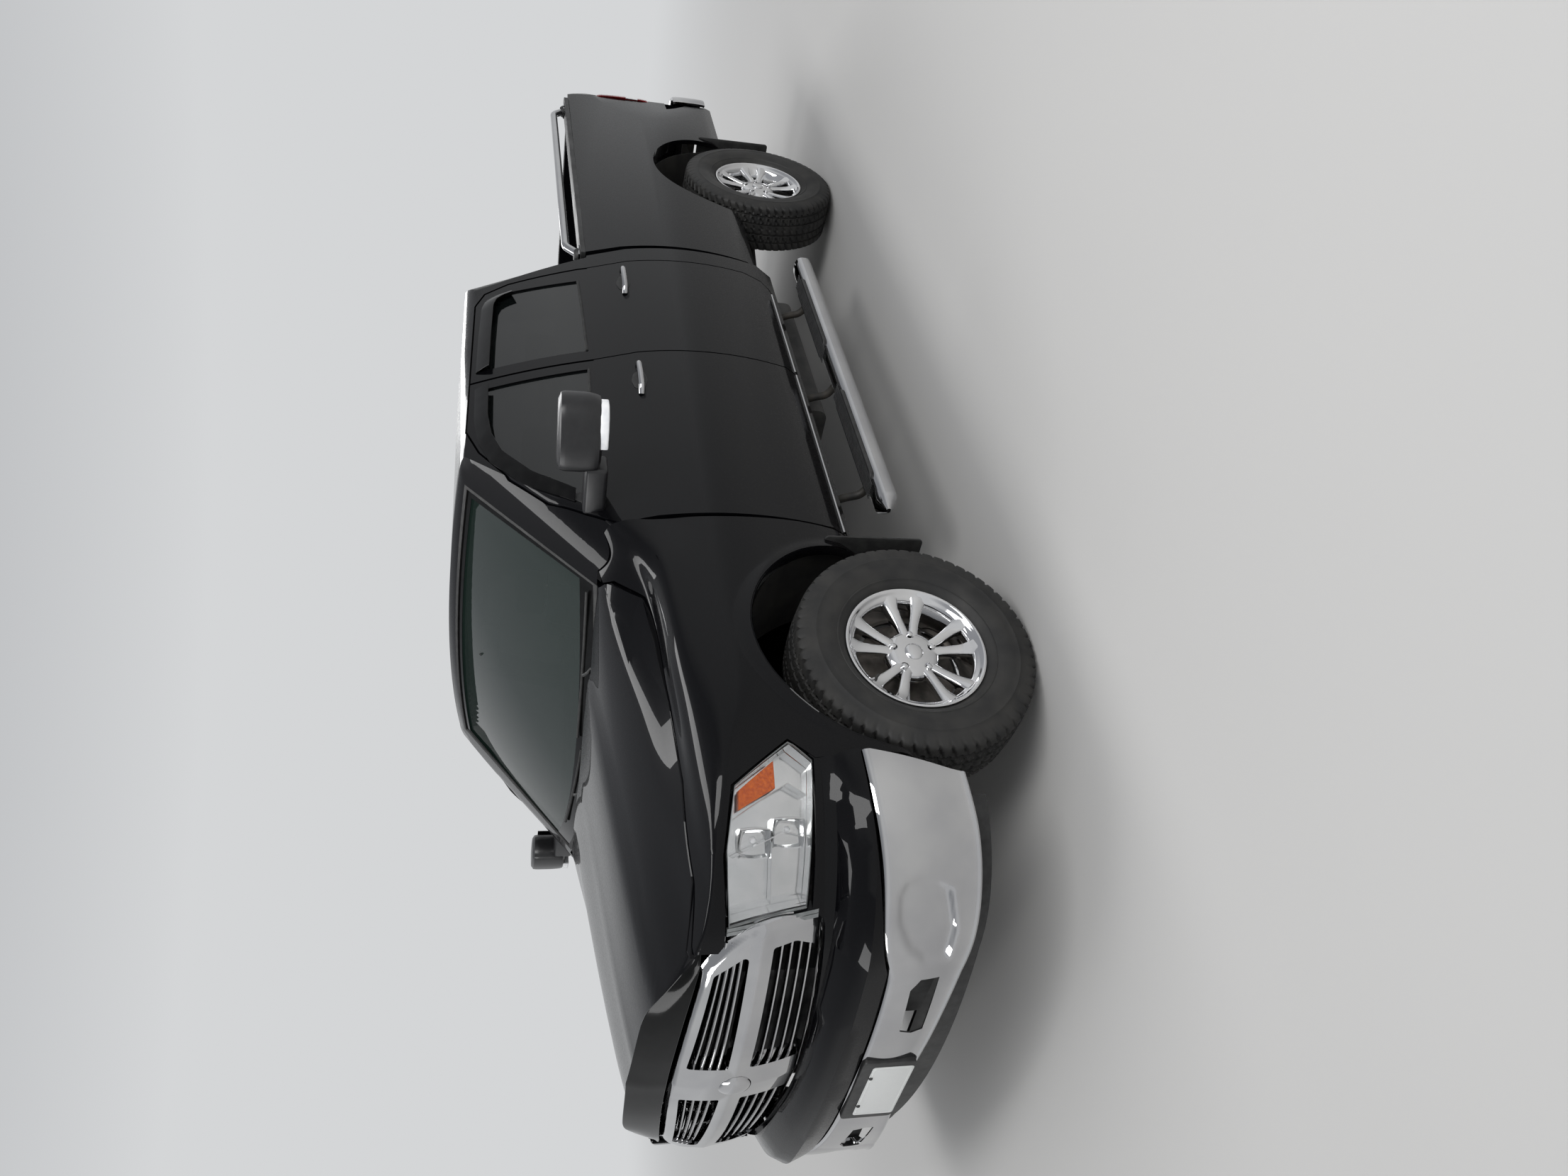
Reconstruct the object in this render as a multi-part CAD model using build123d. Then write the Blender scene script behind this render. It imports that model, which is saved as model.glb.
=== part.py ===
from build123d import *
import math
import os

# A full-size four-door pickup truck. X points forward, Y to the left, Z up, origin on the floor under the middle.
# Lengths in millimetres. Most stations along the truck are counted from the front axle, forward positive.

# Whole truck
wheelbase = 3569
front_overhang = 1010
rear_overhang = 1240
track_front = 1727
track_rear = 1715
panel_gap = 7
seat_gap = 0.3
steer_angle = -9.6

# Body cross-section of cab and doors
sill_low_z = 482
sill_low_y = 905
sill_top_z = 560
sill_top_y = 958
side_bulge_y = 1002
side_bulge_z = 860
shoulder_z = 1180
shoulder_y = 980
belt_z = 1354
belt_y = 930
glass_mid_y = 862
glass_mid_z = 1600
rail_y = 775
rail_z = 1838
roof_edge_y = 690
roof_crown = 77
body_half = 1200
door_wall = 60
door_frame = 25
jamb_gap = 7
frame_relief = 6
trim_wall = 18
glass_inset = 8
glass_wall = 4

# Stations of cab and box, from the front axle
door_cut_front = -560
door_cut_mid = -1630
door_cut_rear = -2424
cab_rear = -2545
cab_box_gap = 23
bumper_step = 169
cab_corner_low = 20
cab_corner_high = 160
firewall = -497
cab_floor_z = 625
floor_wall = 25
plenum_low_z = 1240
cab_wall = 45

# Windscreen, as a curved sheet that leans back
screen_low_x = -502
screen_low_y = 791
screen_low_z = 1388
screen_mid_x = -330
screen_lean_x = -649
screen_lean_z = 459
pillar_round_x = -640
pillar_round_y = 925

# Nose, seen from above
nose_x = 940
nose_corner_x = 866
nose_corner_y = 560
lamp_in_x = 838
lamp_in_y = 640
lamp_out_x = 425
lamp_out_y = 962
fender_y = 1004
fender_bend_x = 120
skin_wall = 22

# Arches and wheels
arch_front_r = 455
arch_front_z = 485
arch_rear_r = 435
arch_rear_z = 540
tyre_r = 401
tyre_w = 264
rim_r = 232
rim_w = 204
bead_r = 216
lug_circle = 139.7
lug_count = 5
kingpin_y = 790
axle_z = 401

# Cargo box
box_inner_y = 843
wheelhouse_y = 647
box_floor_z = 872
rail_front_z = 1356
rail_rear_z = 1396
tail_taper = 460
tail_y = 962
tail_round = 95
tailgate_wall = 62
tailgate_half = 770
tailgate_low_z = 905

# Station, roof edge above the rail, and how far the crown lies under its highest point
roof_sections = (
    (-400, 8, 34),
    (-1278, 20, 16),
    (-1930, 46, 4),
    (-2560, 54, 0),
)

box_front = cab_rear - cab_box_gap
tailgate_face = bumper_step - wheelbase - rear_overhang
overall = front_overhang + wheelbase + rear_overhang
axle_x = overall / 2 - front_overhang
rear_x = axle_x - wheelbase
track_front_y = track_front / 2
track_rear_y = track_rear / 2


def st(distance):
    """X of a station counted from the front axle."""
    return axle_x + distance


def edges_of(points):
    """Edges through 3-D points; a point given as (point, 'via') is the middle of an arc."""
    edges = []
    here = points[0]
    i = 1
    while i < len(points):
        item = points[i]
        if len(item) == 2:
            target = points[i + 1]
            edges.append(ThreePointArc(here, item[0], target))
            here = target
            i += 2
        else:
            edges.append(Line(here, item))
            here = item
            i += 1
    return edges


def face_of(points):
    return Face(Wire(edges_of(points + [points[0]])))


def prism_x(path, x0, x1):
    """Solid with a YZ outline, from x0 to x1. Path items are (y, z) or ('via', y, z)."""
    points = [((x0, p[1], p[2]), "via") if p[0] == "via" else (x0, p[0], p[1]) for p in path]
    return extrude(face_of(points), amount=x1 - x0, dir=(1, 0, 0))


def prism_y(path, y0, y1):
    """Solid with an XZ outline, from y0 to y1."""
    points = [((p[1], y0, p[2]), "via") if p[0] == "via" else (p[0], y0, p[1]) for p in path]
    return extrude(face_of(points), amount=y1 - y0, dir=(0, 1, 0))


def prism_z(path, z0, z1):
    """Solid with an XY outline, from z0 to z1."""
    points = [((p[1], p[2], z0), "via") if p[0] == "via" else (p[0], p[1], z0) for p in path]
    return extrude(face_of(points), amount=z1 - z0, dir=(0, 0, 1))


def block(x0, x1, y0, y1, z0, z1):
    """Box between six planes, in any order."""
    centre = ((x0 + x1) / 2, (y0 + y1) / 2, (z0 + z1) / 2)
    return Pos(*centre) * Box(abs(x1 - x0), abs(y1 - y0), abs(z1 - z0))


def rod(a, b, radius):
    """Round bar between two points."""
    a = Vector(*a)
    b = Vector(*b)
    plane = Plane(origin=a, z_dir=(b - a))
    return plane * Cylinder(radius, (b - a).length, align=(Align.CENTER, Align.CENTER, Align.MIN))


def disc_y(x, y0, y1, z, radius):
    """Cylinder along Y between two planes."""
    return rod((x, min(y0, y1), z), (x, max(y0, y1), z), radius)


def mirrored(shape):
    return shape.mirror(Plane.XZ)


def both_sides(shape):
    return [shape, mirrored(shape)]


def solids_in(shapes):
    found = []
    for shape in shapes if isinstance(shapes, (list, tuple)) else [shapes]:
        found += list(shape.solids())
    return found


def largest(shape):
    """The biggest solid, without the slivers beside it."""
    return max(shape.solids(), key=lambda solid: solid.volume)


def save(node, shapes):
    found = solids_in(shapes)
    whole = found[0] if len(found) == 1 else Compound(children=found)
    export_step(whole, f"parts/{node}.step")


os.makedirs("parts", exist_ok=True)


# Cab and door cross-section


def side_path(inset, z_low, z_high):
    """Left side of the body from z_low up to z_high, moved inboard by inset."""
    path = []
    if z_low < sill_top_z:
        share = (z_low - sill_low_z) / (sill_top_z - sill_low_z)
        path.append((sill_low_y + share * (sill_top_y - sill_low_y) - inset, z_low))
        path.append((sill_top_y - inset, sill_top_z))
    elif z_low < side_bulge_z:
        path.append((sill_top_y - inset, z_low))
    elif z_low < belt_z:
        share = (z_low - shoulder_z) / (belt_z - shoulder_z)
        path.append((shoulder_y + share * (belt_y - shoulder_y) - inset, z_low))
    if z_low < side_bulge_z:
        path.append(("via", side_bulge_y - inset, side_bulge_z))
        path.append((shoulder_y - inset, shoulder_z))
    path.append((belt_y - inset, belt_z))
    if z_high > belt_z:
        path.append(("via", glass_mid_y - inset, glass_mid_z))
        path.append((rail_y - inset, rail_z))
    return path


def flipped(path):
    """The same path on the right side, run the other way."""
    return [("via", -p[1], p[2]) if p[0] == "via" else (-p[0], p[1]) for p in reversed(path)]


def flipped_plan(path):
    """A plan path on the right side, run the other way."""
    return [("via", p[1], -p[2]) if p[0] == "via" else (p[0], -p[1]) for p in reversed(path)]


def roof_face(section, inset):
    """Outline of the roof above the rails at one station."""
    x, edge_rise, crown_drop = section
    left = [
        (rail_y - inset, rail_z),
        ("via", (rail_y + roof_edge_y) / 2 + 8 - inset, rail_z + edge_rise * 0.68),
        (roof_edge_y - inset, rail_z + edge_rise),
        ("via", 0, rail_z + roof_crown - crown_drop),
    ]
    path = left + flipped(left[:-1])
    points = [((st(x), p[1], p[2]), "via") if p[0] == "via" else (st(x), p[0], p[1]) for p in path]
    return face_of(points)


def side_solid(inset, z_low, x0, x1, z_top=rail_z):
    """Solid between the two side walls, without the roof."""
    left = side_path(inset, z_low, rail_z)
    if z_top > rail_z:
        left = left + [(rail_y - inset, z_top)]
    return prism_x(left + flipped(left), x0, x1)


def cab_solid(inset, z_low, x0, x1):
    """Cab with its crowned roof, moved inwards by inset."""
    roof = loft([roof_face(section, inset) for section in roof_sections], ruled=True)
    roof = roof & block(x0, x1, -body_half, body_half, rail_z, rail_z + 2 * roof_crown)
    low = side_solid(inset, z_low, x0, x1)
    if inset > 0:
        low = low & block(x0, x1, -body_half, body_half, z_low, rail_z - inset)
        roof = Pos(0, 0, -inset) * roof
    return low + roof


def side_band(outer, inner, z_low, z_high, x0, x1):
    """Strip of the left side wall between two insets."""
    return prism_x(side_path(outer, z_low, z_high) + list(reversed(side_path(inner, z_low, z_high))), x0, x1)


def screen_sheet(front, back):
    """Leaning solid between the windscreen surface moved by front and by back along X."""
    z_start = 1250
    shift = (screen_low_z - z_start) * screen_lean_x / screen_lean_z
    lift = (2050 - z_start) / screen_lean_z
    length = math.hypot(screen_lean_x, screen_lean_z) * lift

    def edge(move):
        mid_x = (screen_low_x + pillar_round_x) / 2 + 22
        mid_y = (screen_low_y + pillar_round_y) / 2 + 6
        side = [
            (pillar_round_x, pillar_round_y + 300),
            (pillar_round_x, pillar_round_y),
            ("via", mid_x, mid_y),
            (screen_low_x, screen_low_y),
            ("via", screen_mid_x, 0),
            (screen_low_x, -screen_low_y),
            ("via", mid_x, -mid_y),
            (pillar_round_x, -pillar_round_y),
            (pillar_round_x, -pillar_round_y - 300),
        ]
        return [("via", st(p[1]) + move - shift, p[2]) if p[0] == "via" else (st(p[0]) + move - shift, p[1])
                for p in side]

    path = edge(front) + list(reversed(edge(back)))
    points = [((p[1], p[2], z_start), "via") if p[0] == "via" else (p[0], p[1], z_start) for p in path]
    return extrude(face_of(points), amount=length, dir=(screen_lean_x, 0, screen_lean_z))


# Door outlines in side view, stations from the front axle, heights from the floor
front_door_outline = [
    (door_cut_front, sill_low_z + 21),
    (door_cut_front, belt_z - 44),
    (door_cut_front - 80, belt_z + 56),
    (-760, rail_z - 298),
    (-930, rail_z - 163),
    (-1130, rail_z - 53),
    (-1290, rail_z),
    (door_cut_mid, rail_z),
    (door_cut_mid, sill_low_z + 21),
]
rear_door_outline = [
    (door_cut_mid, sill_low_z + 21),
    (door_cut_mid, rail_z),
    (door_cut_rear + 154, rail_z),
    (door_cut_rear + 64, rail_z - 38),
    (door_cut_rear + 24, rail_z - 138),
    (door_cut_rear, belt_z + 46),
    (door_cut_rear, sill_low_z + 158),
    (door_cut_rear + 54, sill_low_z + 38),
    (door_cut_rear + 94, sill_low_z + 21),
]
front_glass_outline = [
    (-735, belt_z + 34),
    (-735, belt_z + 96),
    (-876, rail_z - 226),
    (-1056, rail_z - 106),
    (-1200, rail_z - 56),
    (-1340, rail_z - 36),
    (door_cut_mid + 68, rail_z - 30),
    (door_cut_mid + 68, belt_z + 22),
]
rear_glass_outline = [
    (door_cut_mid - 74, belt_z + 24),
    (door_cut_mid - 74, rail_z - 30),
    (door_cut_rear + 199, rail_z - 36),
    (door_cut_rear + 124, rail_z - 63),
    (door_cut_rear + 102, rail_z - 138),
    (door_cut_rear + 112, belt_z + 42),
]


def moved_in(outline, distance):
    """Outline shrunk by a distance, or grown by a negative one, in side view."""
    wire = Wire.make_polygon([(x, 0, z) for x, z in outline], close=True)
    face = Face(wire)
    ring = offset(face, amount=-distance, kind=Kind.INTERSECTION).faces()[0].outer_wire()
    return ring


def outline_prism(outline, distance, y0, y1):
    face = Face(moved_in(outline, distance))
    face = Pos(axle_x, y0, 0) * face
    return extrude(face, amount=y1 - y0, dir=(0, 1, 0))


outlines = {
    "front": (front_door_outline, front_glass_outline),
    "rear": (rear_door_outline, rear_glass_outline),
}

cab_x1 = st(cab_rear)
cab_x0 = st(-430)

# Doors, each with a window opening, and the glass in it
doors = {}
door_glass = {}
for place, (outline, glass_outline) in outlines.items():
    xs = [x for x, z in outline]
    x_back = st(min(xs)) - 5
    x_front = st(max(xs)) + 5
    low = side_band(0, door_wall, sill_low_z + 10, belt_z, x_back, x_front)
    high = side_band(0, door_frame, belt_z, rail_z, x_back, x_front)
    door_edge = outline_prism(outline, panel_gap / 2, 500, 1100)
    high = high & (Pos(frame_relief, 0, 0) * door_edge)
    door = (low + high) & door_edge
    door = door - outline_prism(glass_outline, 0, 500, 1100)
    door = door - screen_sheet(1500, 0)
    doors[place] = door
    pane = side_band(glass_inset, glass_inset + glass_wall, belt_z, rail_z, x_back, x_front)
    door_glass[place] = pane & outline_prism(glass_outline, seat_gap, 500, 1100)

for place in doors:
    save(f"door_{place}_left", doors[place])
    save(f"door_{place}_right", mirrored(doors[place]))
    save(f"glass_{place}_left", door_glass[place])
    save(f"glass_{place}_right", mirrored(door_glass[place]))

# Windscreen and rear window: low and high height at the sides, then at the middle
screen_inset = 10
screen_frame_wall = 40
screen_half_low = 742
screen_half_high = 676
screen_edge_z = (belt_z + 22, rail_z - 6)
screen_centre_z = (belt_z - 2, rail_z + 26)


def screen_prism(inset, x0, x1):
    path = [
        (-screen_half_low + inset, screen_edge_z[0] + inset),
        ("via", 0, screen_centre_z[0] + inset),
        (screen_half_low - inset, screen_edge_z[0] + inset),
        (screen_half_high - inset, screen_edge_z[1] - inset),
        ("via", 0, screen_centre_z[1] - inset),
        (-screen_half_high + inset, screen_edge_z[1] - inset),
    ]
    return prism_x(path, x0, x1)


def rear_window(inset, x0, x1):
    low_y = rear_window_half_low - inset
    high_y = rear_window_half_high - inset
    low_z = belt_z + 46 + inset
    high_z = rail_z - 38 - inset
    return prism_x([(-low_y, low_z), (low_y, low_z), (high_y, high_z), (-high_y, high_z)], x0, x1)


# Cab shell
screen_back_x = st(-1300)
screen_front_x = st(-30)
rear_window_half_low = 640
rear_window_half_high = 560
low_inset = door_wall + jamb_gap + trim_wall
high_inset = door_frame + jamb_gap + trim_wall
shell = cab_solid(0, sill_low_z, cab_x1, cab_x0)
shell = shell - screen_sheet(1500, 0)
screen_pocket = screen_prism(0, screen_back_x, screen_front_x) & screen_sheet(1500, -screen_frame_wall - 5)
shell = shell - screen_pocket
shell = shell - block(cab_x1 - 1, cab_x0 + 1, -830, 830, 400, cab_floor_z)
shell = shell - block(st(firewall), cab_x0 + 5, -1100, 1100, 300, plenum_low_z)
low_cavity = side_solid(low_inset, cab_floor_z + floor_wall, cab_x1 + cab_wall, st(firewall) - floor_wall)
low_cavity = low_cavity & block(cab_x1, cab_x0, -1000, 1000, 0, belt_z + 1)
high_cavity = cab_solid(high_inset, belt_z - 154, cab_x1 + cab_wall, cab_x0 + 1)
high_cavity = high_cavity & block(cab_x1, cab_x0 + 5, -1000, 1000, belt_z, rail_z + 2 * roof_crown)
high_cavity = high_cavity - screen_sheet(1500, -screen_frame_wall)
shell = shell - low_cavity - high_cavity
low_jamb = side_solid(door_wall + jamb_gap, 300, cab_x1 - 5, cab_x0 + 5)
low_jamb = low_jamb & block(cab_x1 - 5, cab_x0 + 5, -1100, 1100, 0, belt_z)
high_jamb = side_solid(door_frame + jamb_gap, belt_z, cab_x1 - 5, cab_x0 + 5, rail_z + roof_crown)
for place, (outline, glass_outline) in outlines.items():
    outer = outline_prism(outline, -panel_gap / 2, 500, 1100) - low_jamb - high_jamb
    inner = outline_prism(outline, 38, 560, 1100) & block(
        cab_x1, cab_x0, 0, 1100, cab_floor_z + floor_wall, rail_z)
    shell = shell - outer - mirrored(outer) - inner - mirrored(inner)
wing_room = block(st(door_cut_front) + panel_gap / 2, cab_x0 + 5, -1100, 1100, 300, belt_z - 10)
wing_room = wing_room - side_solid(skin_wall + 10, 300, cab_x1, cab_x0 + 50)
shell = shell - wing_room


def corner_face(z, side_y, radius):
    """Outside of the rounded rear corner of the cab at one height."""
    return face_of([
        (cab_x1 - 5, side_y + 20, z),
        (cab_x1 - 5, side_y - radius, z),
        (cab_x1, side_y - radius, z),
        ((cab_x1 + 0.29 * radius, side_y - 0.29 * radius, z), "via"),
        (cab_x1 + radius, side_y, z),
        (cab_x1 + radius, side_y + 20, z),
    ])


corner_top_z = rail_z + 112
corner_top_y = rail_y - 37
corner_cut = loft([corner_face(belt_z, belt_y, cab_corner_low), corner_face(corner_top_z, corner_top_y, cab_corner_high)],
                  ruled=True)
shell = shell - corner_cut - mirrored(corner_cut)

windscreen = screen_prism(seat_gap, screen_back_x, screen_front_x)
windscreen = windscreen & screen_sheet(-screen_inset, -screen_inset - 9)
shell = shell - rear_window(0, cab_x1 - 10, cab_x1 + cab_wall + 10)
rear_pane = rear_window(seat_gap, cab_x1 + 14, cab_x1 + 19)
save("cab_glass", [windscreen, rear_pane])

# Nose seen from above, and the sections of bonnet and wings


def nose_path(inset):
    """Plan outline of the body in front of the doors, moved in by inset."""
    side = fender_y - inset
    left = [
        (st(door_cut_front) + panel_gap / 2, side),
        (st(fender_bend_x), side),
        ("via", st(285) - inset * 0.3, 992 - inset),
        (st(lamp_out_x) - inset * 0.5, lamp_out_y - inset * 0.9),
        ("via", st(690) - inset * 0.8, 824 - inset * 0.75),
        (st(lamp_in_x) - inset, lamp_in_y - inset * 0.4),
        (st(nose_corner_x) - inset, nose_corner_y),
        ("via", st(nose_x) - inset, 0),
    ]
    return left + flipped_plan(left[:-1])


# Bonnet and wing sections: station, then wing shoulder, bonnet edge, crease, dome edge and middle as (y, z)
clip_sections = [
    (door_cut_front + panel_gap / 2, (970, 1195), (932, 1345), (800, 1384), (430, 1402), 1408),
    (-290, (972, 1178), (856, 1228), (775, 1330), (430, 1378), 1386),
    (150, (965, 1140), (826, 1186), (735, 1250), (415, 1328), 1342),
    (600, (938, 1062), (758, 1152), (640, 1192), (390, 1270), 1292),
    (980, (900, 960), (640, 1092), (540, 1130), (360, 1205), 1238),
]


def clip_face(section, drop, inset, z_low):
    x, shoulder, edge, crease, dome, middle = section
    left = [
        (sill_top_y - inset, z_low),
        ("via", side_bulge_y - inset, side_bulge_z),
        (shoulder[0] - inset, shoulder[1] - drop * 0.4),
        (edge[0] - inset * 0.6, edge[1] - drop),
        (crease[0], crease[1] - drop),
        (dome[0], dome[1] - drop),
        ("via", 0, middle - drop),
    ]
    path = left + flipped(left[:-1])
    points = [((st(x), p[1], p[2]), "via") if p[0] == "via" else (st(x), p[0], p[1]) for p in path]
    return face_of(points)


def clip_solid(drop, inset, z_low):
    return loft([clip_face(section, drop, inset, z_low) for section in clip_sections], ruled=True)


clip_low_z = 560
clip_outer = clip_solid(0, 0, clip_low_z)
clip_inner = clip_solid(skin_wall, skin_wall, clip_low_z - 20)
nose_outer = prism_z(nose_path(0), 300, 1500)
nose_inner = prism_z(nose_path(skin_wall), 290, 1500)

# Grille: its outline seen from the front, and the upright curve that its face follows when turned about a far axis
grille_top_y = 520
grille_top_z = 1127
grille_crown_z = 1166
grille_side = ((628, 1052), (684, 886), (688, 838), (677, 808), (636, 790))
grille_low_z = 761
grille_axis_x = st(-1216)
grille_curve = ((926, 1190), (953, 985), (905, 750))
grille_depth = 45
cross_z = 965
cross_half = 33
upright_half = 95
slat_high = 12
slat_back = 30
upper_window = ((upright_half, cross_z + cross_half), (upright_half, 1122), (508, 1090), (576, 1012), (570, 998))
lower_window = ((upright_half, 774), (upright_half, cross_z - cross_half), (603, cross_z - cross_half), (616, 868), (585, 806),
                (536, 789))
slat_count_top = 3
slat_count_low = 4


def grille_outline(grow):
    (y1, z1), (y2, z2), (y3, z3), (y4, z4), (y5, z5) = grille_side
    left = [
        ("via", 0, grille_low_z - grow),
        (y5, z5 - grow),
        ("via", y4 + grow * 0.8, z4 - grow * 0.6),
        (y3 + grow, z3),
        (y2 + grow, z2),
        ("via", y1 + grow * 0.9, z1 + grow * 0.5),
        (grille_top_y + grow * 0.4, grille_top_z + grow),
    ]
    return [(-y5, z5 - grow)] + left + [("via", 0, grille_crown_z + grow)] + flipped(left[2:])


# Bonnet outline seen from above
bonnet_edge = [
    (nose_x - 10, 0), (nose_corner_x - 12, 552), (700, 692), (430, 786), (150, 822), (-290, 846), (-400, 812),
    (-446, 748), (-400, 640), (-290, 380), (-252, 0),
]


def bonnet_path(grow):
    left = []
    for x, y in bonnet_edge:
        back = -1 if x < -200 else (1 if x > 800 else 0)
        left.append((st(x) + back * grow, y + (grow if 0 < y else 0)))
    return left + [(x, -y) for x, y in reversed(left[1:-1])]


def bonnet_cut(grow, z0, z1):
    return prism_z(bonnet_path(grow), z0, z1)


hood_edge = 45
bonnet_outer = clip_outer & nose_outer & bonnet_cut(0, 1128, 1500)
bonnet_core = Pos(0, 0, -26) * clip_outer & prism_z(nose_path(30), 600, 1600) & bonnet_cut(-24, 600, 1500)
bonnet_under = Pos(0, 0, -hood_edge) * clip_outer & prism_z(nose_path(30), 600, 1600)
bonnet = bonnet_outer - bonnet_core - bonnet_under
bonnet = bonnet - prism_x(grille_outline(panel_gap), st(600), st(1100))
save("hood", bonnet)

# Front wings: the skin of the nose outside the bonnet, behind and above the lamps
wing_region = [
    (st(door_cut_front) + panel_gap / 2, sill_low_z),
    (st(door_cut_front) + panel_gap / 2, 1420),
    (st(700), 1420),
    (st(700), 1084),
    (st(546), 1062),
    (st(418), 888),
    (st(474), 812),
    (st(462), 690),
    (st(462), sill_low_z),
]
lamp_region = [
    (st(845), 1062),
    (st(692), 1076),
    (st(548), 1050),
    (st(425), 886),
    (st(480), 822),
    (st(800), 834),
    (st(845), 850),
]
wing_in_y = 752
nose_skin = (clip_outer & nose_outer) - (clip_inner & nose_inner)
low_skin = (prism_z(nose_path(0), sill_low_z, clip_low_z) - prism_z(nose_path(skin_wall), 400, clip_low_z + 1))
rocker_bevel = prism_x([(sill_low_y, sill_low_z - 1), (1100, sill_low_z - 1), (1100, sill_top_z), (sill_top_y, sill_top_z)],
                       st(-700), st(700))
low_skin = low_skin - rocker_bevel - mirrored(rocker_bevel)
arch_cut = disc_y(axle_x, -1100, 1100, arch_front_z, arch_front_r)
bonnet_hole = bonnet_cut(panel_gap, 1000, 1500)
wing = (nose_skin + low_skin) & prism_y(wing_region, 300, 1100)
wing = wing - arch_cut - bonnet_hole - block(st(-500), st(900), 0, 640, 400, 1500)
wing = wing - block(st(-600), cab_x0, 0, wing_in_y, 400, 1500)
wing = largest(wing)
save("front_fenders", both_sides(wing))

# The cab keeps clear of the wings and the bonnet
under_skin = clip_solid(hood_edge + 12, skin_wall + 12, clip_low_z - 300)
over_skin = clip_solid(-5, -5, clip_low_z - 310)
skin_room = over_skin - under_skin
wing_zone = block(st(door_cut_front) + panel_gap / 2, cab_x0 + 5, wing_in_y - 7, 1100, 300, 1500) & skin_room
bonnet_zone = bonnet_cut(panel_gap, 1000, 1600) & skin_room
shell = shell - wing_zone - mirrored(wing_zone) - bonnet_zone
# The left half and its mirror image make the whole
half_shell = shell & block(cab_x1 - 50, cab_x0 + 50, 0, body_half, 0, rail_z + 3 * roof_crown)
shell = half_shell + mirrored(half_shell)
save("cab_shell", shell)

# Outline of the front bumper in plan and from the front; the panels above it end at its upper edge
bumper_x = front_overhang - 12
bumper_side_y = 988
bumper_back_x = 465
bumper_wall = 8


def bumper_path(inset):
    left = [
        (st(bumper_back_x), bumper_side_y - inset),
        ("via", st(786) - inset * 0.7, 844 - inset * 0.7),
        (st(932) - inset * 0.95, 553 - inset * 0.2),
        ("via", st(bumper_x) - inset, 0),
    ]
    return left + flipped_plan(left[:-1])


def bumper_view(grow):
    """Upper edge dips at the middle, then climbs to the arch; the lower edge rises under the plate."""
    upper = [
        (0, 612 + grow),
        (556, 606 + grow),
        ("via", 628, 630 + grow),
        (706, 646 + grow),
        (bumper_side_y + 1, 684 + grow),
    ]
    lower = [
        (bumper_side_y + 1, 394),
        ("via", 800, 366),
        (545, 386),
        (290, 416),
        (107, 436),
        (0, 439),
    ]
    left = upper + lower
    return left + flipped(left[1:-1])


# Headlamps
lamp_depth = 70
lamp_edge = ((652, 1110), (704, 800))


def lamp_side(move):
    """Zone outboard of the slanted inner edge of the left lamp."""
    (y0, z0), (y1, z1) = lamp_edge
    return prism_x([(y0 + move, z0), (y1 + move, z1), (1100, z1), (1100, z0)], st(380), st(1000))


lamp_body = (prism_z(nose_path(0), 780, 1100) - prism_z(nose_path(lamp_depth), 770, 1110)) & clip_outer
lamp = lamp_body & prism_y(lamp_region, lamp_in_y - 40, 1100) & lamp_side(0)
save("headlamps", both_sides(lamp))

# Grille


def grille_skin(front, back):
    """Curved wall behind the grille's face, between two depths."""
    (x0, z0), (x1, z1), (x2, z2) = [(st(x), z) for x, z in grille_curve]
    outline = [(x0 - front, 0, z0), ((x1 - front, 0, z1), "via"), (x2 - front, 0, z2), (x2 - back, 0, z2),
               ((x1 - back, 0, z1), "via"), (x0 - back, 0, z0)]
    axis = Axis((grille_axis_x, 0, 0), (0, 0, 1))
    return revolve(face_of(outline), axis=axis, revolution_arc=44).rotate(axis, -22)


def window_prism(outline, x0, x1):
    return prism_x(list(outline), x0, x1)


grille_x = (st(700), st(1000))
grille = prism_x(grille_outline(0), *grille_x) & grille_skin(0, grille_depth)
slats = []
for outline, count in ((upper_window, slat_count_top), (lower_window, slat_count_low)):
    opening = window_prism(outline, *grille_x)
    for cut in both_sides(opening):
        grille = grille - cut
    low_z = min(z for y, z in outline)
    high_z = max(z for y, z in outline)
    step = (high_z - low_z) / (count + 1)
    for k in range(1, count + 1):
        z = low_z + k * step
        slats.append(block(*grille_x, upright_half - 6, 640, z - slat_high / 2, z + slat_high / 2))
slat_set = Compound(children=slats) & grille_skin(8, slat_back) & prism_x(grille_outline(-30), *grille_x)
for bar in slat_set.solids():
    for piece in both_sides(bar):
        grille = grille + piece
hub = rod((st(920), 0, cross_z + 14), (st(962), 0, cross_z + 14), 50)
grille = grille + hub
save("grille", grille)
radiator = block(st(700), st(770), -330, 330, 560, 1040)
save("radiator", radiator)

# Painted nose panel around the grille and lamps, and the bulged cover above the bumper
cover_wall = 20
cover_sections = (
    # height, side y, corner (x, y), join (x, y), middle x
    (800, 950, (690, 824), (846, 600), 925),
    (765, 955, (694, 828), (852, 600), 918),
    (724, 970, (778, 836), (925, 600), 984),
    (680, 977, (798, 846), (950, 600), 1004),
    (596, 983, (782, 842), (926, 560), 990),
)


def cover_face(section, inset):
    z, side_y, corner, join, middle = section
    left = [
        (st(300), side_y - inset),
        (st(bumper_back_x), side_y - inset),
        ("via", st(corner[0]) - inset * 0.7, corner[1] - inset * 0.7),
        (st(join[0]) - inset * 0.95, join[1] - inset * 0.3),
        ("via", st(middle) - inset, 0),
    ]
    path = left + flipped_plan(left[:-1])
    return face_of([((p[1], p[2], z), "via") if p[0] == "via" else (p[0], p[1], z) for p in path])


def cover_solid(inset):
    return loft([cover_face(section, inset) for section in cover_sections], ruled=True)


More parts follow.
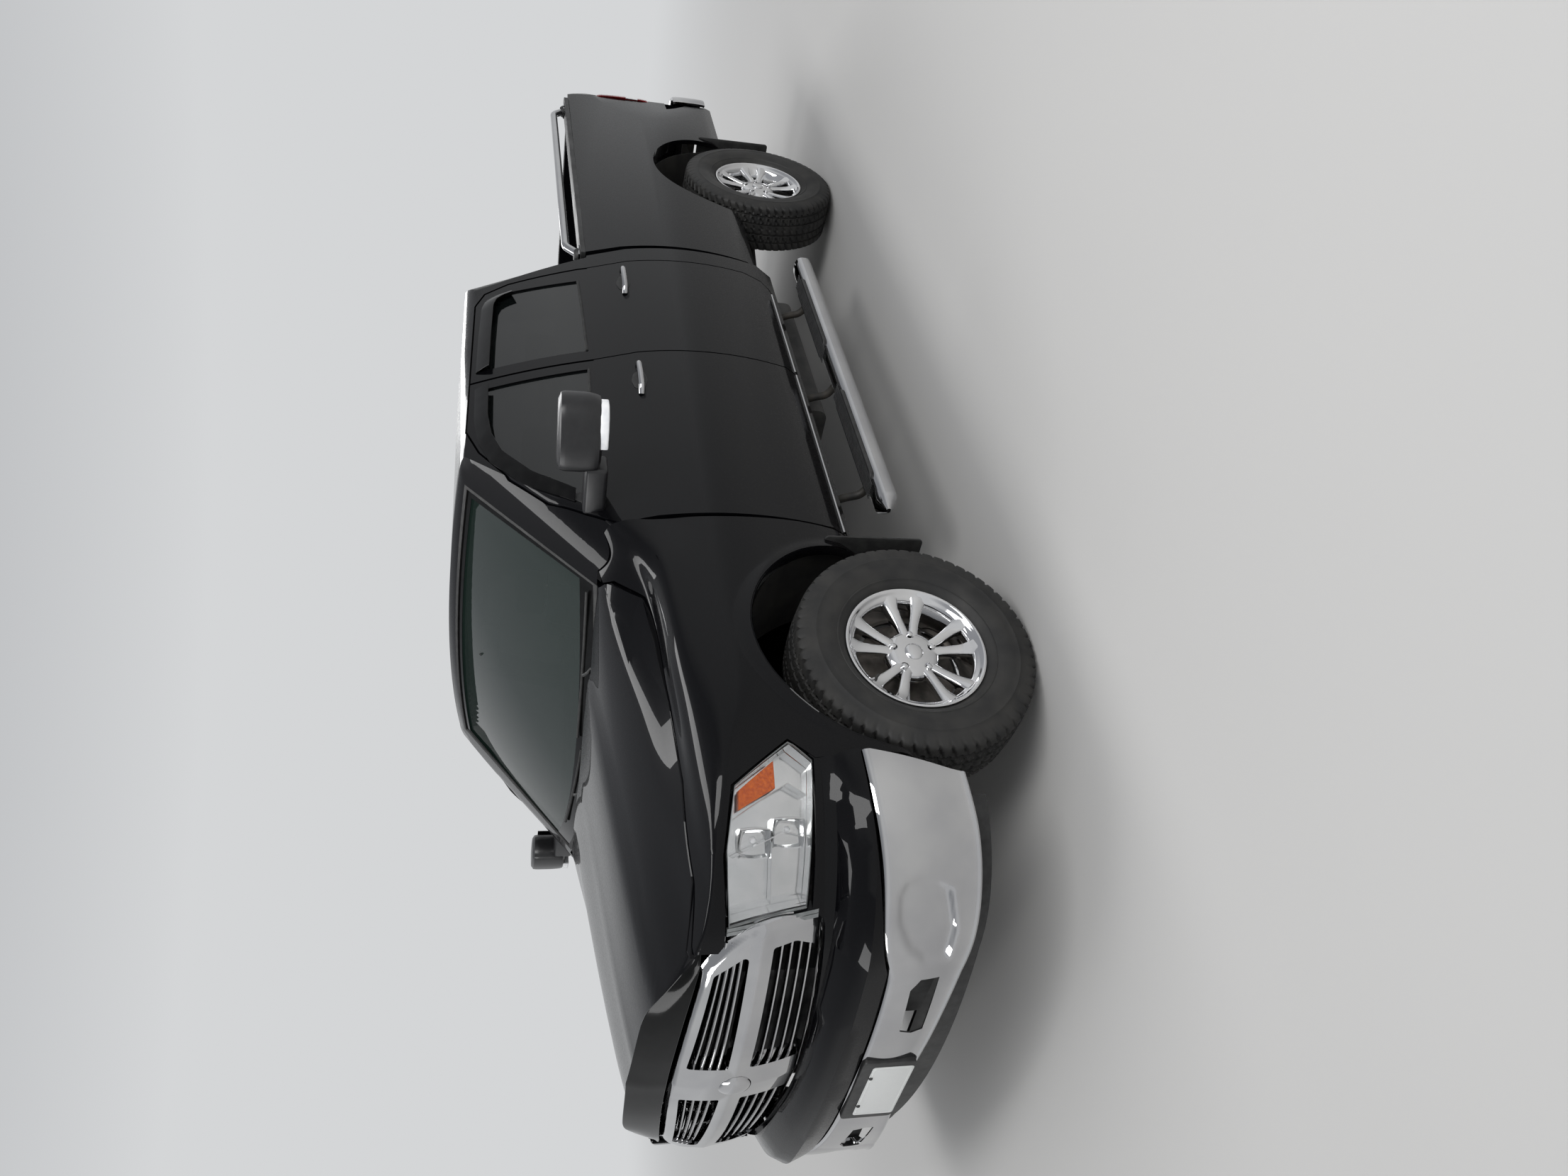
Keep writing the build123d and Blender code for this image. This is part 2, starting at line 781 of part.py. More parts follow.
nose_panel = prism_z(nose_path(0), cover_sections[0][0], 900) - prism_z(nose_path(skin_wall), 500, 1000)
nose_panel = nose_panel + (nose_skin & block(st(0), st(1100), -1100, 1100, 880, 1132))
nose_panel = nose_panel + (cover_solid(0) - cover_solid(cover_wall))
nose_panel = nose_panel & block(st(bumper_back_x), st(1100), -1100, 1100, 500, 1132)
nose_panel = nose_panel - prism_x(grille_outline(2), st(600), st(1100))
nose_panel = nose_panel - prism_x(bumper_view(3), st(300), st(1100))
lamp_hole = outline_prism([(x - axle_x, z) for x, z in lamp_region], -4, lamp_in_y - 40, 1100) & lamp_side(-4)
for hole in both_sides(lamp_hole):
    nose_panel = nose_panel - hole
wing_hole = outline_prism([(x - axle_x, z) for x, z in wing_region], -2.5, 300, 1100)
for hole in both_sides(wing_hole):
    nose_panel = nose_panel - hole
nose_panel = nose_panel - bonnet_cut(panel_gap, 1120, 1500) - arch_cut
nose_panel = largest(nose_panel)
save("fascia", nose_panel)

# Front bumper
bumper_skin = prism_z(bumper_path(0), 300, 760) - prism_z(bumper_path(bumper_wall), 290, 770)
bumper_trim = prism_x(bumper_view(0), st(400), st(1100))
shelf_low = [("via", p[1], p[2] - bumper_wall) if p[0] == "via" else (p[0], p[1] - bumper_wall) for p in bumper_view(0)]
shelf = prism_z(bumper_path(2), 590, 700) - prism_z(bumper_path(46), 580, 710)
shelf = (shelf & bumper_trim) - prism_x(shelf_low, st(300), st(1100))
bumper = (bumper_skin & bumper_trim) + shelf
slot_outline = [(307, 489), (318, 455), (536, 450), (531, 505), (490, 529), (318, 526)]
fog_outline = [(592, 430), (590, 515), (640, 572), (715, 612), (790, 618), (826, 592), (834, 543), (828, 490), (810, 448)]
fog_depth = 4
fog_recess = (prism_z(bumper_path(-3), 300, 760) - prism_z(bumper_path(fog_depth), 290, 770))
fog_recess = fog_recess & prism_x(fog_outline, st(600), st(1100))
for cut in both_sides(prism_x(slot_outline, st(700), st(1100))) + both_sides(fog_recess):
    bumper = bumper - cut
bumper_end = prism_y([(st(380), 780), (st(476), 780), (st(476), 660), (st(556), 385), (st(556), 290), (st(380), 290)],
                     -1100, 1100)
bumper = bumper - bumper_end
save("front_bumper", bumper)

# Black valance under the bumper, and the plate holder
plate_hole_y = 89
plate_hole_z = 578
plate_hole_r = 3.5
dam_inset = 92
dam_low_z = 300
dam = prism_z(bumper_path(dam_inset), dam_low_z, 436) - prism_z(bumper_path(dam_inset + 14), dam_low_z - 10, 446)
dam = dam & block(st(560), st(1100), -1100, 1100, 0, 600)
holder = block(st(bumper_x) + seat_gap, st(front_overhang), -165, 165, 436, 596)
for y in (-plate_hole_y, plate_hole_y):
    holder = holder - rod((st(bumper_x) - 5, y, plate_hole_z), (st(front_overhang) + 5, y, plate_hole_z), plate_hole_r)
save("front_valance", dam)
save("plate_holder", holder)

# Bonnet shield along the leading edge
shield_path_out = prism_z(nose_path(-14), 1100, 1400) - prism_z(nose_path(-7), 1090, 1410)
shield = shield_path_out & block(st(700), st(1000), -620, 620, 1172, 1290)
shield = shield & prism_x([(-620, 1172), (620, 1172), (560, 1245), (380, 1286), (-380, 1286), (-560, 1245)],
                          st(600), st(1100))
save("hood_shield", shield)

# Cowl panel between bonnet and windscreen
cowl_top_z = 1348
cowl = prism_z(bonnet_path(60), cowl_top_z - 12, cowl_top_z) - bonnet_cut(panel_gap, 1000, 1500)
cowl = cowl & block(cab_x0 + seat_gap, st(-190), -740, 740, 1300, 1400)
save("cowl", cowl)

# Wheel housings of the front arches
liner_r = 482
liner_wall = 8
liner_z = 470
liner = disc_y(axle_x, 620, 928, liner_z, liner_r + liner_wall)
liner = liner - disc_y(axle_x, 600, 1100, liner_z, liner_r)
liner = liner & block(st(-600), st(600), 0, 1100, 470, 1100)
liner = liner - block(st(418), st(600), 0, 1100, 400, 800)
save("wheel_liners", both_sides(liner))

# Mud flaps
flaps = []
for x, z0, z1, z2 in ((st(-486), 262, 400, 469), (rear_x - 462, 300, 546, 640)):
    flap = block(x, x + 8, 742, 985, z0, z1) + block(x, x + 8, 742, 925, z1, z2)
    flaps += both_sides(flap)
save("mud_flaps", flaps)

# Cargo box
box_x0 = st(box_front)
box_x1 = st(tailgate_face)
box_rail_low_z = 1340
box_skin = 24
box_low_z = 548
box_front_wall = 34
rail_rise = rail_rear_z - rail_front_z


def box_side_path(inset, z_low, z_high):
    return [
        (930 - inset, z_low),
        (sill_top_y + 4 - inset, max(z_low, 600) + 1),
        ("via", side_bulge_y - inset, side_bulge_z + 10),
        (shoulder_y - inset, shoulder_z + 20),
        (belt_y + 6 - inset, z_high - 30),
        (belt_y - 4 - inset, z_high),
    ]


def box_side(inset, z_low, z_high, y_in):
    path = box_side_path(inset, z_low, z_high) + [(y_in, z_high), (y_in, z_low)]
    return prism_x(path, box_x1, box_x0)


def tail_plan(inset, y_in):
    """Left side of the box seen from above, with its taper and rounded rear corner."""
    bend = box_x1 + tail_taper
    return [
        (box_x0, fender_y - inset),
        (bend, fender_y - inset),
        (box_x1 + tail_round + inset, tail_y - inset),
        ("via", box_x1 + tail_round * 0.3 + inset, tail_y - tail_round * 0.3 - inset),
        (box_x1 + inset, tail_y - tail_round - inset),
        (box_x1 + inset, y_in),
        (box_x0, y_in),
    ]


rail_slope = prism_y([(box_x0 + 1, rail_front_z), (box_x0 + 1, 1600), (box_x1 - 1, 1600), (box_x1 - 1, rail_rear_z)],
                     -1100, 1100)
side_full = (box_side(0, box_low_z, rail_rear_z, box_inner_y) & prism_z(tail_plan(0, box_inner_y), 400, 1500))
side_full = side_full - rail_slope
side_core = box_side(box_skin, box_low_z - 10, box_floor_z - 30, box_inner_y - 1)
side_core = side_core & block(box_x1 + 40, box_x0 - 30, 800, 1100, 0, box_floor_z - 40)
box_wall_left = side_full - side_core
post = block(box_x1, box_x1 + 110, tailgate_half + panel_gap, box_inner_y + 1, box_floor_z - 20, rail_rear_z) - rail_slope
floor_plate = block(box_x1 + tailgate_wall + 10, box_x0, -box_inner_y, box_inner_y, box_floor_z - 26, box_floor_z)
front_plate = block(box_x0 - box_front_wall, box_x0, -box_inner_y, box_inner_y, box_floor_z - 26, rail_front_z)
house_r = arch_rear_r + 52
house_wall = 10
house = disc_y(rear_x, wheelhouse_y, box_inner_y + 1, arch_rear_z - 20, house_r)
house = house & block(rear_x - 600, rear_x + 600, 0, 1000, box_floor_z - 10, 1300)
half_box = box_wall_left + post + house
cargo_box = half_box + mirrored(half_box) + floor_plate + front_plate
well = disc_y(rear_x, wheelhouse_y + house_wall, 1100, arch_rear_z - 20, house_r - house_wall)
well = well & block(rear_x - 600, rear_x + 600, 0, fender_y - 60, 0, 1300)
arch = disc_y(rear_x, 640, 1100, arch_rear_z, arch_rear_r)
for cut in both_sides(well) + both_sides(arch):
    cargo_box = cargo_box - cut

# Tail lamps wrap the rear corners
tail_lamp_z = (930, 1232)
tail_lamp_front = 96
lamp_block = block(box_x1 - 1, box_x1 + tail_lamp_front, 822, 1100, *tail_lamp_z)
lamp_zone = lamp_block - prism_z(tail_plan(58, box_inner_y), 800, 1400)
tail_lamp = (side_full & lamp_zone) - block(box_x1 - 1, box_x1 + 58, 700, 846, 800, 1400)
tail_lamp = largest(tail_lamp)
grown = block(box_x1 - 1, box_x1 + tail_lamp_front + 3, 822, 1100, tail_lamp_z[0] - 3, tail_lamp_z[1] + 3)
grown = grown - prism_z(tail_plan(61, box_inner_y), 800, 1400)
for cut in both_sides(grown - block(box_x1 - 1, box_x1 + 61, 700, 843, 800, 1400)):
    cargo_box = cargo_box - cut
save("cargo_box", cargo_box)
save("tail_lamps", both_sides(tail_lamp))

# Rail caps and tube rails
cap_high = 22


def rail_z_at(x):
    return rail_front_z + rail_rise * (box_x0 - x) / (box_x0 - box_x1)


cap = prism_y([(box_x0, rail_front_z + seat_gap), (box_x0, rail_front_z + cap_high),
               (box_x1, rail_rear_z + cap_high), (box_x1, rail_rear_z + seat_gap)], box_inner_y - 6, belt_y + 6)
cap = cap & prism_z(tail_plan(26, box_inner_y - 10), 1200, 1500)
save("rail_caps", both_sides(cap))
tube_r = 19
tube_y = 886
tube_lift = 62
tube_front = box_x0 - 70
tube_back = box_x0 - 1880
bend = 62
z_a = rail_z_at(tube_front) + cap_high + seat_gap
z_b = rail_z_at(tube_back) + cap_high + seat_gap
route = FilletPolyline(
    (tube_front, tube_y, z_a),
    (tube_front - 70, tube_y, z_a + tube_lift),
    (tube_back + 70, tube_y, z_b + tube_lift),
    (tube_back, tube_y, z_b),
    radius=bend,
)
tube = sweep(Plane(route @ 0, z_dir=route % 0) * Circle(tube_r), path=route)
tube = tube - block(tube_back - 100, tube_front + 100, 700, 1000, 0, z_a - 1) - (Pos(0, 0, cap_high + seat_gap) * prism_y(
    [(box_x0 + 50, rail_front_z - 200), (box_x0, rail_front_z), (box_x1, rail_rear_z), (box_x1, rail_rear_z - 200)],
    700, 1000))
feet = []
for x in (tube_front + 8, tube_back - 8):
    z = rail_z_at(x) + cap_high + seat_gap
    feet.append(block(x - 45, x + 45, tube_y - 30, tube_y + 30, z + 1, z + 7))
for foot in feet:
    tube = tube + foot
save("bed_rails", both_sides(tube))

# Tailgate
gate_x0 = box_x1
gate = block(gate_x0, gate_x0 + tailgate_wall, -tailgate_half, tailgate_half, tailgate_low_z, rail_rear_z - 4)
handle_cut = block(gate_x0 - 1, gate_x0 + 26, -150, 150, 1205, 1290)
handle = block(gate_x0 + 4, gate_x0 + 26, -95, 95, 1232, 1280)
gate = (gate - handle_cut) + handle
save("tailgate", gate)

# Rear bumper
rear_bumper_x = st(0) - wheelbase - rear_overhang
rear_top_z = 776
rear_low_z = 588
rear_half = 912
rear_wall = 8
rear_plan = [
    (box_x1 - 8, rear_half),
    (rear_bumper_x + 120, rear_half),
    ("via", rear_bumper_x + 40, rear_half - 36),
    (rear_bumper_x + 12, rear_half - 110),
    (rear_bumper_x, 380),
]
rear_path = rear_plan + flipped_plan(rear_plan)
rear_in = [("via", p[1] + rear_wall, p[2] - rear_wall) if p[0] == "via" else (p[0] + rear_wall, p[1] - rear_wall)
           for p in rear_plan]
rear_in[0] = (box_x1 - 7, rear_half - rear_wall)
rear_inner_path = rear_in + flipped_plan(rear_in)
rear_bumper = prism_z(rear_path, rear_low_z, rear_top_z)
rear_core = prism_z(rear_inner_path, rear_low_z - 1, rear_top_z - rear_wall)
rear_core = rear_core - block(rear_bumper_x - 1, rear_bumper_x + 110, -130, 130, rear_top_z - 40, rear_top_z)
rear_bumper = rear_bumper - rear_core
rear_bumper = rear_bumper - block(rear_bumper_x - 1, rear_bumper_x + 40, -170, 170, 600, 730)
plate_wall = block(rear_bumper_x + 30, rear_bumper_x + 38, -178, 178, 592, rear_top_z - 2)
plate_sides = block(rear_bumper_x + 4, rear_bumper_x + 38, -178, -170, 592, rear_top_z - 2)
rear_bumper = rear_bumper + plate_wall + plate_sides + mirrored(plate_sides)
ball_hole_x = rear_bumper_x + 70
ball_hole_r = 16.5
rear_bumper = rear_bumper - rod((ball_hole_x, 0, rear_top_z - 80), (ball_hole_x, 0, rear_top_z + 10), ball_hole_r)
rear_bumper = rear_bumper - block(box_x1 + 20, box_x1 + 200, -845, 845, 400, 900)
save("rear_bumper", rear_bumper)

# Running boards
board_z = 322
board_y = 985
board_front = -640
board_back = -2560
board_w = 104
board_h = 52
board = block(st(board_back), st(board_front), board_y - board_w / 2, board_y + board_w / 2, board_z - board_h / 2,
              board_z + board_h / 2)
board = fillet(board.edges().filter_by(Axis.X), 20)
pads = []
for x0, x1 in ((-1390, -790), (-2330, -1740)):
    pads.append(block(st(x0), st(x1), board_y - 48, board_y + 46, board_z + board_h / 2 - 3, board_z + board_h / 2 + 7))
for pad in pads:
    board = board + pad
for x in (-900, -1600, -2300):
    arm = prism_y([(st(x) - 25, sill_low_z - 1), (st(x) + 25, sill_low_z - 1), (st(x) + 25, board_z),
                   (st(x) - 25, board_z)], 838, 852)
    arm = arm + block(st(x) - 25, st(x) + 25, 838, board_y - 20, board_z - 10, board_z + 6)
    board = board + arm
save("running_boards", both_sides(board))

# Mirrors on the front doors: a housing that narrows to its foot, on a flat arm
mirror_low_z = 1376
mirror_high_z = 1522


def mirror_face(z, shrink):
    return face_of([
        (st(-660) - shrink, 1052 + shrink, z),
        ((st(-692) - shrink, 1200 - shrink, z), "via"),
        (st(-770) - shrink * 0.5, 1288 - shrink, z),
        (st(-832), 1284 - shrink, z),
        (st(-850), 1262 - shrink, z),
        (st(-800), 1046 + shrink, z),
    ])


mirror = loft([mirror_face(mirror_low_z, 16), mirror_face(mirror_low_z + 50, 0), mirror_face(mirror_high_z - 30, 0),
               mirror_face(mirror_high_z, 14)], ruled=True)
mirror_arm = prism_z([(st(-640), 915), (st(-662), 1080), (st(-760), 1080), (st(-740), 915)], mirror_low_z + 6, mirror_low_z + 40)
door_cutter = side_band(-seat_gap, 300, belt_z, rail_z, st(-900), st(-500))
mirror = mirror + (mirror_arm - door_cutter)
save("mirror_left", mirror)
save("mirror_right", mirrored(mirror))

# Ladder frame: two rails that rise over the rear axle, and crossmembers between them
rail_out_front = 410
rail_out_mid = 470
rail_w = 75
rail_deep = 140
rail_low_z = 455
rail_path = [
    (front_overhang - 190, 470), (300, 470), (-560, rail_low_z), (-2700, rail_low_z), (-3100, 600), (-4100, 600),
    (-4540, 570),
]
rail_top = [(x, z + (rail_deep if -3000 < x else 120)) for x, z in rail_path]
rail_side = prism_y([(st(x), z) for x, z in rail_path] + [(st(x), z) for x, z in reversed(rail_top)], 0, 1000)
rail_plan_out = [
    (front_overhang - 190, rail_out_front), (450, rail_out_front), (-450, rail_out_front), (-620, rail_out_mid),
    (-4540, rail_out_mid),
]
rail_plan = [(st(x), y) for x, y in rail_plan_out] + [(st(x), y - rail_w) for x, y in reversed(rail_plan_out)]
rail = rail_side & prism_z(rail_plan, 200, 900)
members = []
member_table = (
    # station, length along X, half width, low z, high z
    (front_overhang - 240, 70, rail_out_front - rail_w, 490, 590),
    (190, 110, rail_out_front - rail_w, 420, 468),
    (-1500, 90, rail_out_mid - rail_w, 430, 478),
    (-2450, 90, rail_out_mid - rail_w, 520, 590),
    (-3150, 80, rail_out_mid - rail_w, 640, 700),
    (-4080, 80, rail_out_mid - rail_w, 620, 700),
    (-4500, 80, rail_out_mid - rail_w, 590, 680),
)
for x, length, half, z0, z1 in member_table:
    if z0 < 470 and x > 0:
        piece = block(st(x), st(x) + length, -(half + rail_w - 10), half + rail_w - 10, z0, z1)
    else:
        piece = block(st(x), st(x) + length, -half, half, z0, z1)
    members.append(piece)
save("frame", both_sides(rail) + members)

# Front suspension: lower and upper arms with the damper, carried by the frame
low_joint_z = axle_z - 118
high_joint_z = axle_z + 128
front_arms = []
arm_low = prism_z([
    (axle_x + 190, rail_out_front + 1), (axle_x + 150, rail_out_front + 1), (axle_x, kingpin_y - 64),
    (axle_x - 190, rail_out_front + 1), (axle_x - 240, rail_out_front + 1), (axle_x - 30, kingpin_y - 30),
    (axle_x - 10, kingpin_y + 2), (axle_x + 10, kingpin_y + 2), (axle_x + 30, kingpin_y - 30),
], low_joint_z - 42, low_joint_z - 14)
arm_web = block(axle_x - 30, axle_x + 30, rail_out_front + 1, kingpin_y - 40, low_joint_z - 42, low_joint_z - 14)
arm_foot_a = block(axle_x + 150, axle_x + 190, rail_out_front + 1, rail_out_front + 45, low_joint_z - 42, 500)
arm_foot_b = block(axle_x - 240, axle_x - 190, rail_out_front + 1, rail_out_front + 45, low_joint_z - 42, 500)
arm_high = prism_z([
    (axle_x + 130, rail_out_front + 1), (axle_x + 90, rail_out_front + 1), (axle_x, kingpin_y - 60),
    (axle_x - 90, rail_out_front + 1), (axle_x - 130, rail_out_front + 1), (axle_x - 28, kingpin_y - 30),
    (axle_x - 10, kingpin_y + 2), (axle_x + 10, kingpin_y + 2), (axle_x + 28, kingpin_y - 30),
], high_joint_z + 14, high_joint_z + 34)
arm_tab = block(axle_x - 130, axle_x + 130, rail_out_front + 1, rail_out_front + 22, 500, high_joint_z + 34)
damper = rod((axle_x + 5, 560, low_joint_z - 20), (axle_x + 5, 520, 860), 50)
arms = arm_low + arm_web + arm_foot_a + arm_foot_b + arm_tab + arm_high + damper
save("front_suspension", both_sides(arms))

# Knuckles, steered as in the photograph, with brake disc and hub
hub_r = 78
disc_r = 168
disc_wall = 28
hub_face_y = track_front_y + 22
knuckle = block(axle_x - 32, axle_x + 32, kingpin_y - 30, kingpin_y + 2, low_joint_z - 13.7, high_joint_z + 13.7)
knuckle = knuckle + disc_y(axle_x, kingpin_y - 20, hub_face_y - 1, axle_z, 52)
knuckle = knuckle + disc_y(axle_x, kingpin_y + 12, kingpin_y + 12 + disc_wall, axle_z, disc_r)
knuckle = knuckle + disc_y(axle_x, hub_face_y - 16, hub_face_y - seat_gap, axle_z, hub_r)
caliper = block(axle_x - 165, axle_x - 75, kingpin_y + 4, kingpin_y + 52, axle_z - 80, axle_z + 80)
knuckle = knuckle + ((caliper & disc_y(axle_x, 600, 1000, axle_z, disc_r)) - disc_y(axle_x, 600, 1000, axle_z, 96))
knuckle = knuckle + block(axle_x + 20, axle_x + 120, kingpin_y - 40, kingpin_y - 12, axle_z - 90, axle_z - 60)


def steered(shape, side):
    """Turn a front piece about its kingpin."""
    axis = Axis((axle_x, side * kingpin_y, 0), (0, 0, 1))
    return shape.rotate(axis, steer_angle)


save("knuckle_left", steered(knuckle, 1))
save("knuckle_right", steered(mirrored(knuckle), -1))

# Rims and tyres, made about the left front wheel centre, then placed
spoke_pairs = 5
rim_face = 54
barrel_wall = 8


def ring_y(profile):
    """Solid of revolution about Y from a (radius, y) outline."""
    points = [((p[1], p[2], 0), "via") if p[0] == "via" else (p[0], p[1], 0) for p in profile]
    return revolve(face_of(points), axis=Axis.Y, revolution_arc=360)


half_rim = rim_w / 2
barrel = ring_y([
    (bead_r - 14, -half_rim), (rim_r, -half_rim), (rim_r, -half_rim + 8), (bead_r, -half_rim + 16),
    (bead_r - 6, -60), (bead_r - 30, -20), (bead_r - 30, 20), (bead_r - 6, 60), (bead_r, half_rim - 16),
    (rim_r, half_rim - 8), (rim_r, half_rim), (bead_r - 8, half_rim), (bead_r - 20, 62), (bead_r - 42, 24),
    (bead_r - 42, -24), (bead_r - 16, -66),
])
centre = ring_y([(0, 22 + seat_gap), (92, 22 + seat_gap), (92, 40), (78, 62), (34, 66), (34, 74), (0, 76)])
spokes = []
for k in range(spoke_pairs):
    for turn in (-13.5, 13.5):
        spoke = loft([
            Plane(origin=(0, 48, 60), x_dir=(1, 0, 0), z_dir=(0, 0, 1)) * Rectangle(34, 34),
            Plane(origin=(0, 64, bead_r - 24), x_dir=(1, 0, 0), z_dir=(0, 0, 1)) * Rectangle(24, 30),
        ])
        spokes.append(spoke.rotate(Axis.Y, turn + k * 360 / spoke_pairs))
rim = barrel + centre
for spoke in spokes:
    rim = rim + spoke
lug_stud = rod((lug_circle / 2, 40, 0), (lug_circle / 2, 70, 0), 11)
for k in range(lug_count):
    rim = rim + lug_stud.rotate(Axis.Y, 36 + k * 360 / lug_count)

half_tyre = tyre_w / 2
tyre = ring_y([
    (bead_r + seat_gap, -half_rim + 17), (rim_r + 1, -half_rim + 9), (rim_r + 26, -half_rim - 10),
    ("via", 318, -half_tyre), (tyre_r - 32, -half_tyre + 10), ("via", tyre_r - 8, -half_tyre + 20),
    (tyre_r - 4, -half_tyre + 40), ("via", tyre_r, 0),
    (tyre_r - 4, half_tyre - 40), ("via", tyre_r - 8, half_tyre - 20), (tyre_r - 32, half_tyre - 10),
    ("via", 318, half_tyre), (rim_r + 26, half_rim + 10), (rim_r + 1, half_rim - 9),
    (bead_r + seat_gap, half_rim - 17), (bead_r + 8, 0),
])
wheel_places = (
    # name, x, y, side, steered
    ("front_left", axle_x, track_front_y, 1, True),
    ("front_right", axle_x, -track_front_y, -1, True),
    ("rear_left", rear_x, track_rear_y, 1, False),
    ("rear_right", rear_x, -track_rear_y, -1, False),
)
for name, x, y, side, turned in wheel_places:
    for node, shape in (("rim", rim), ("tyre", tyre)):
        placed = shape if side > 0 else mirrored(shape)
        placed = Pos(x, y, axle_z) * placed
        if turned:
            placed = steered(placed, side)
        save(f"{node}_{name}", placed)

# Rear axle with coil springs, dampers and links
hub_rear_y = track_rear_y + 22
rear_axle = disc_y(rear_x, -hub_rear_y + 1, hub_rear_y - 1, axle_z, 42)
rear_axle = rear_axle + (Pos(rear_x, 60, axle_z) * Sphere(150)) + disc_y(rear_x, -60, 180, axle_z, 120)
for side in (1, -1):
    rear_axle = rear_axle + disc_y(rear_x, side * (hub_rear_y - 16), side * (hub_rear_y - seat_gap), axle_z, hub_r)
    rear_axle = rear_axle + disc_y(rear_x, side * (hub_rear_y - 92), side * (hub_rear_y - 66), axle_z, disc_r)
    rear_axle = rear_axle + rod((rear_x, side * 500, axle_z), (rear_x, side * 500, 560), 62)
    rear_axle = rear_axle + rod((rear_x - 50, side * 600, axle_z - 20), (rear_x - 180, side * 540, 815), 28)
    rear_axle = rear_axle + rod((rear_x, side * 560, axle_z - 20), (rear_x + 760, side * 520, 440), 24)
save("rear_axle", rear_axle)

# Engine and gearbox as plain blocks, with the propeller shaft
engine = block(st(-330), st(440), -280, 280, 520, 1060)
gearbox = block(st(-1480), st(-330), -170, 170, 480, 760) - block(st(-1600), st(-480), -400, 400, 612, 900)
shaft = rod((st(-1480) + 1, 0, 540), (rear_x + 153, 60, axle_z), 42)
powertrain = engine + gearbox + shaft
save("powertrain", powertrain)

# Exhaust on the right and fuel tank on the left
pipe_r = 30
muffler_r = 90
pipe_route = [
    (-900, -290, 400), (-3000, -290, 400), (-3200, -340, 590), (-4000, -340, 590), (-4150, -400, 520),
    (-4560, -780, 470),
]
exhaust = rod((st(-2150), -290, 400), (st(-1560), -290, 400), muffler_r)
for a, b in zip(pipe_route, pipe_route[1:]):
    exhaust = exhaust + rod((st(a[0]), a[1], a[2]), (st(b[0]), b[1], b[2]), pipe_r)
    exhaust = exhaust + Pos(st(b[0]), b[1], b[2]) * Sphere(pipe_r)
save("exhaust", exhaust)
tank = block(st(-2500), st(-1560), 480, 800, 360, 600)
tank = fillet(tank.edges().filter_by(Axis.X), 40)
save("fuel_tank", tank)

# Cabin: dashboard with the steering wheel, front seats and rear bench
floor_top = cab_floor_z + floor_wall
dash = prism_y([
    (st(-560), 900), (st(-560), 1290), (st(-640), 1310), (st(-800), 1285), (st(-840), 1200), (st(-760), 1000),
    (st(-640), 900),
], -820, 820)
console = block(st(-1300), st(-640), -150, 150, floor_top + seat_gap, floor_top + 260)
wheel_centre = Plane(origin=(st(-900), 400, 1230), z_dir=(-0.92, 0, 0.39))
steering = wheel_centre * Torus(185, 15)
steering = steering + wheel_centre * Cylinder(55, 40) + wheel_centre * Box(360, 26, 16) + rod(
    (st(-900), 400, 1230), (st(-780), 400, 1178), 30)
save("dashboard", [dash + steering, console])


def seat(x, y, width, deep):
    """Cushion, leaned back rest and head rest as one plain closed form."""
    half = width / 2
    form = prism_y([
        (x + deep / 2, 900), (x + deep / 2, 1010), (x - deep / 2 + 90, 985), (x - deep / 2 - 60, 1480),
        (x - deep / 2 - 90, 1620), (x - deep / 2 - 170, 1620), (x - deep / 2 - 160, 1480), (x - deep / 2 - 60, 900),
    ], y - half, y + half)
    return form


seats = []
for y in (400, -400):
    one = seat(st(-1330), y, 500, 500)
    seats.append(one + block(st(-1560), st(-1120), y - 200, y + 200, floor_top + seat_gap, 901))
save("front_seats", seats)
bench = seat(st(-2140), 0, 1340, 460) & block(st(-2480), st(-1800), -700, 700, 800, 1560)
bench = bench + block(st(-2330), st(-1960), -600, 600, floor_top + seat_gap, 901)
save("rear_bench", bench)
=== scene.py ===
import bpy
import bmesh
import math
from mathutils import Matrix, Vector


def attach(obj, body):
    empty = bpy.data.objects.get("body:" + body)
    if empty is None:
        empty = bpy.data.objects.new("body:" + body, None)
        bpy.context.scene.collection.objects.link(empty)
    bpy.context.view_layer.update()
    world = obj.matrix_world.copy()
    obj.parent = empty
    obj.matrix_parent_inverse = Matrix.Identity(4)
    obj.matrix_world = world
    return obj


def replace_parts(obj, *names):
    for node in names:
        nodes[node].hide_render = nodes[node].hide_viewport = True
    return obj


# A full-size four-door pickup truck in gloss black with chrome trim, parked with its front wheels turned a little to
# the right. Everything is in metres: X forward, Y to the left, Z up, with the origin on the floor under its middle.
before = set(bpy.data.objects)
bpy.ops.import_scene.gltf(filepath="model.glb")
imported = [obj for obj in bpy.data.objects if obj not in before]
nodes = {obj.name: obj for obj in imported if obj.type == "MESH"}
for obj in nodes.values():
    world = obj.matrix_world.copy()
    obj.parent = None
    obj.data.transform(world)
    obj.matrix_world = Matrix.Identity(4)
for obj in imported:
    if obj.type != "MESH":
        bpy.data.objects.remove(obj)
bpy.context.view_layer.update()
scene = bpy.context.scene

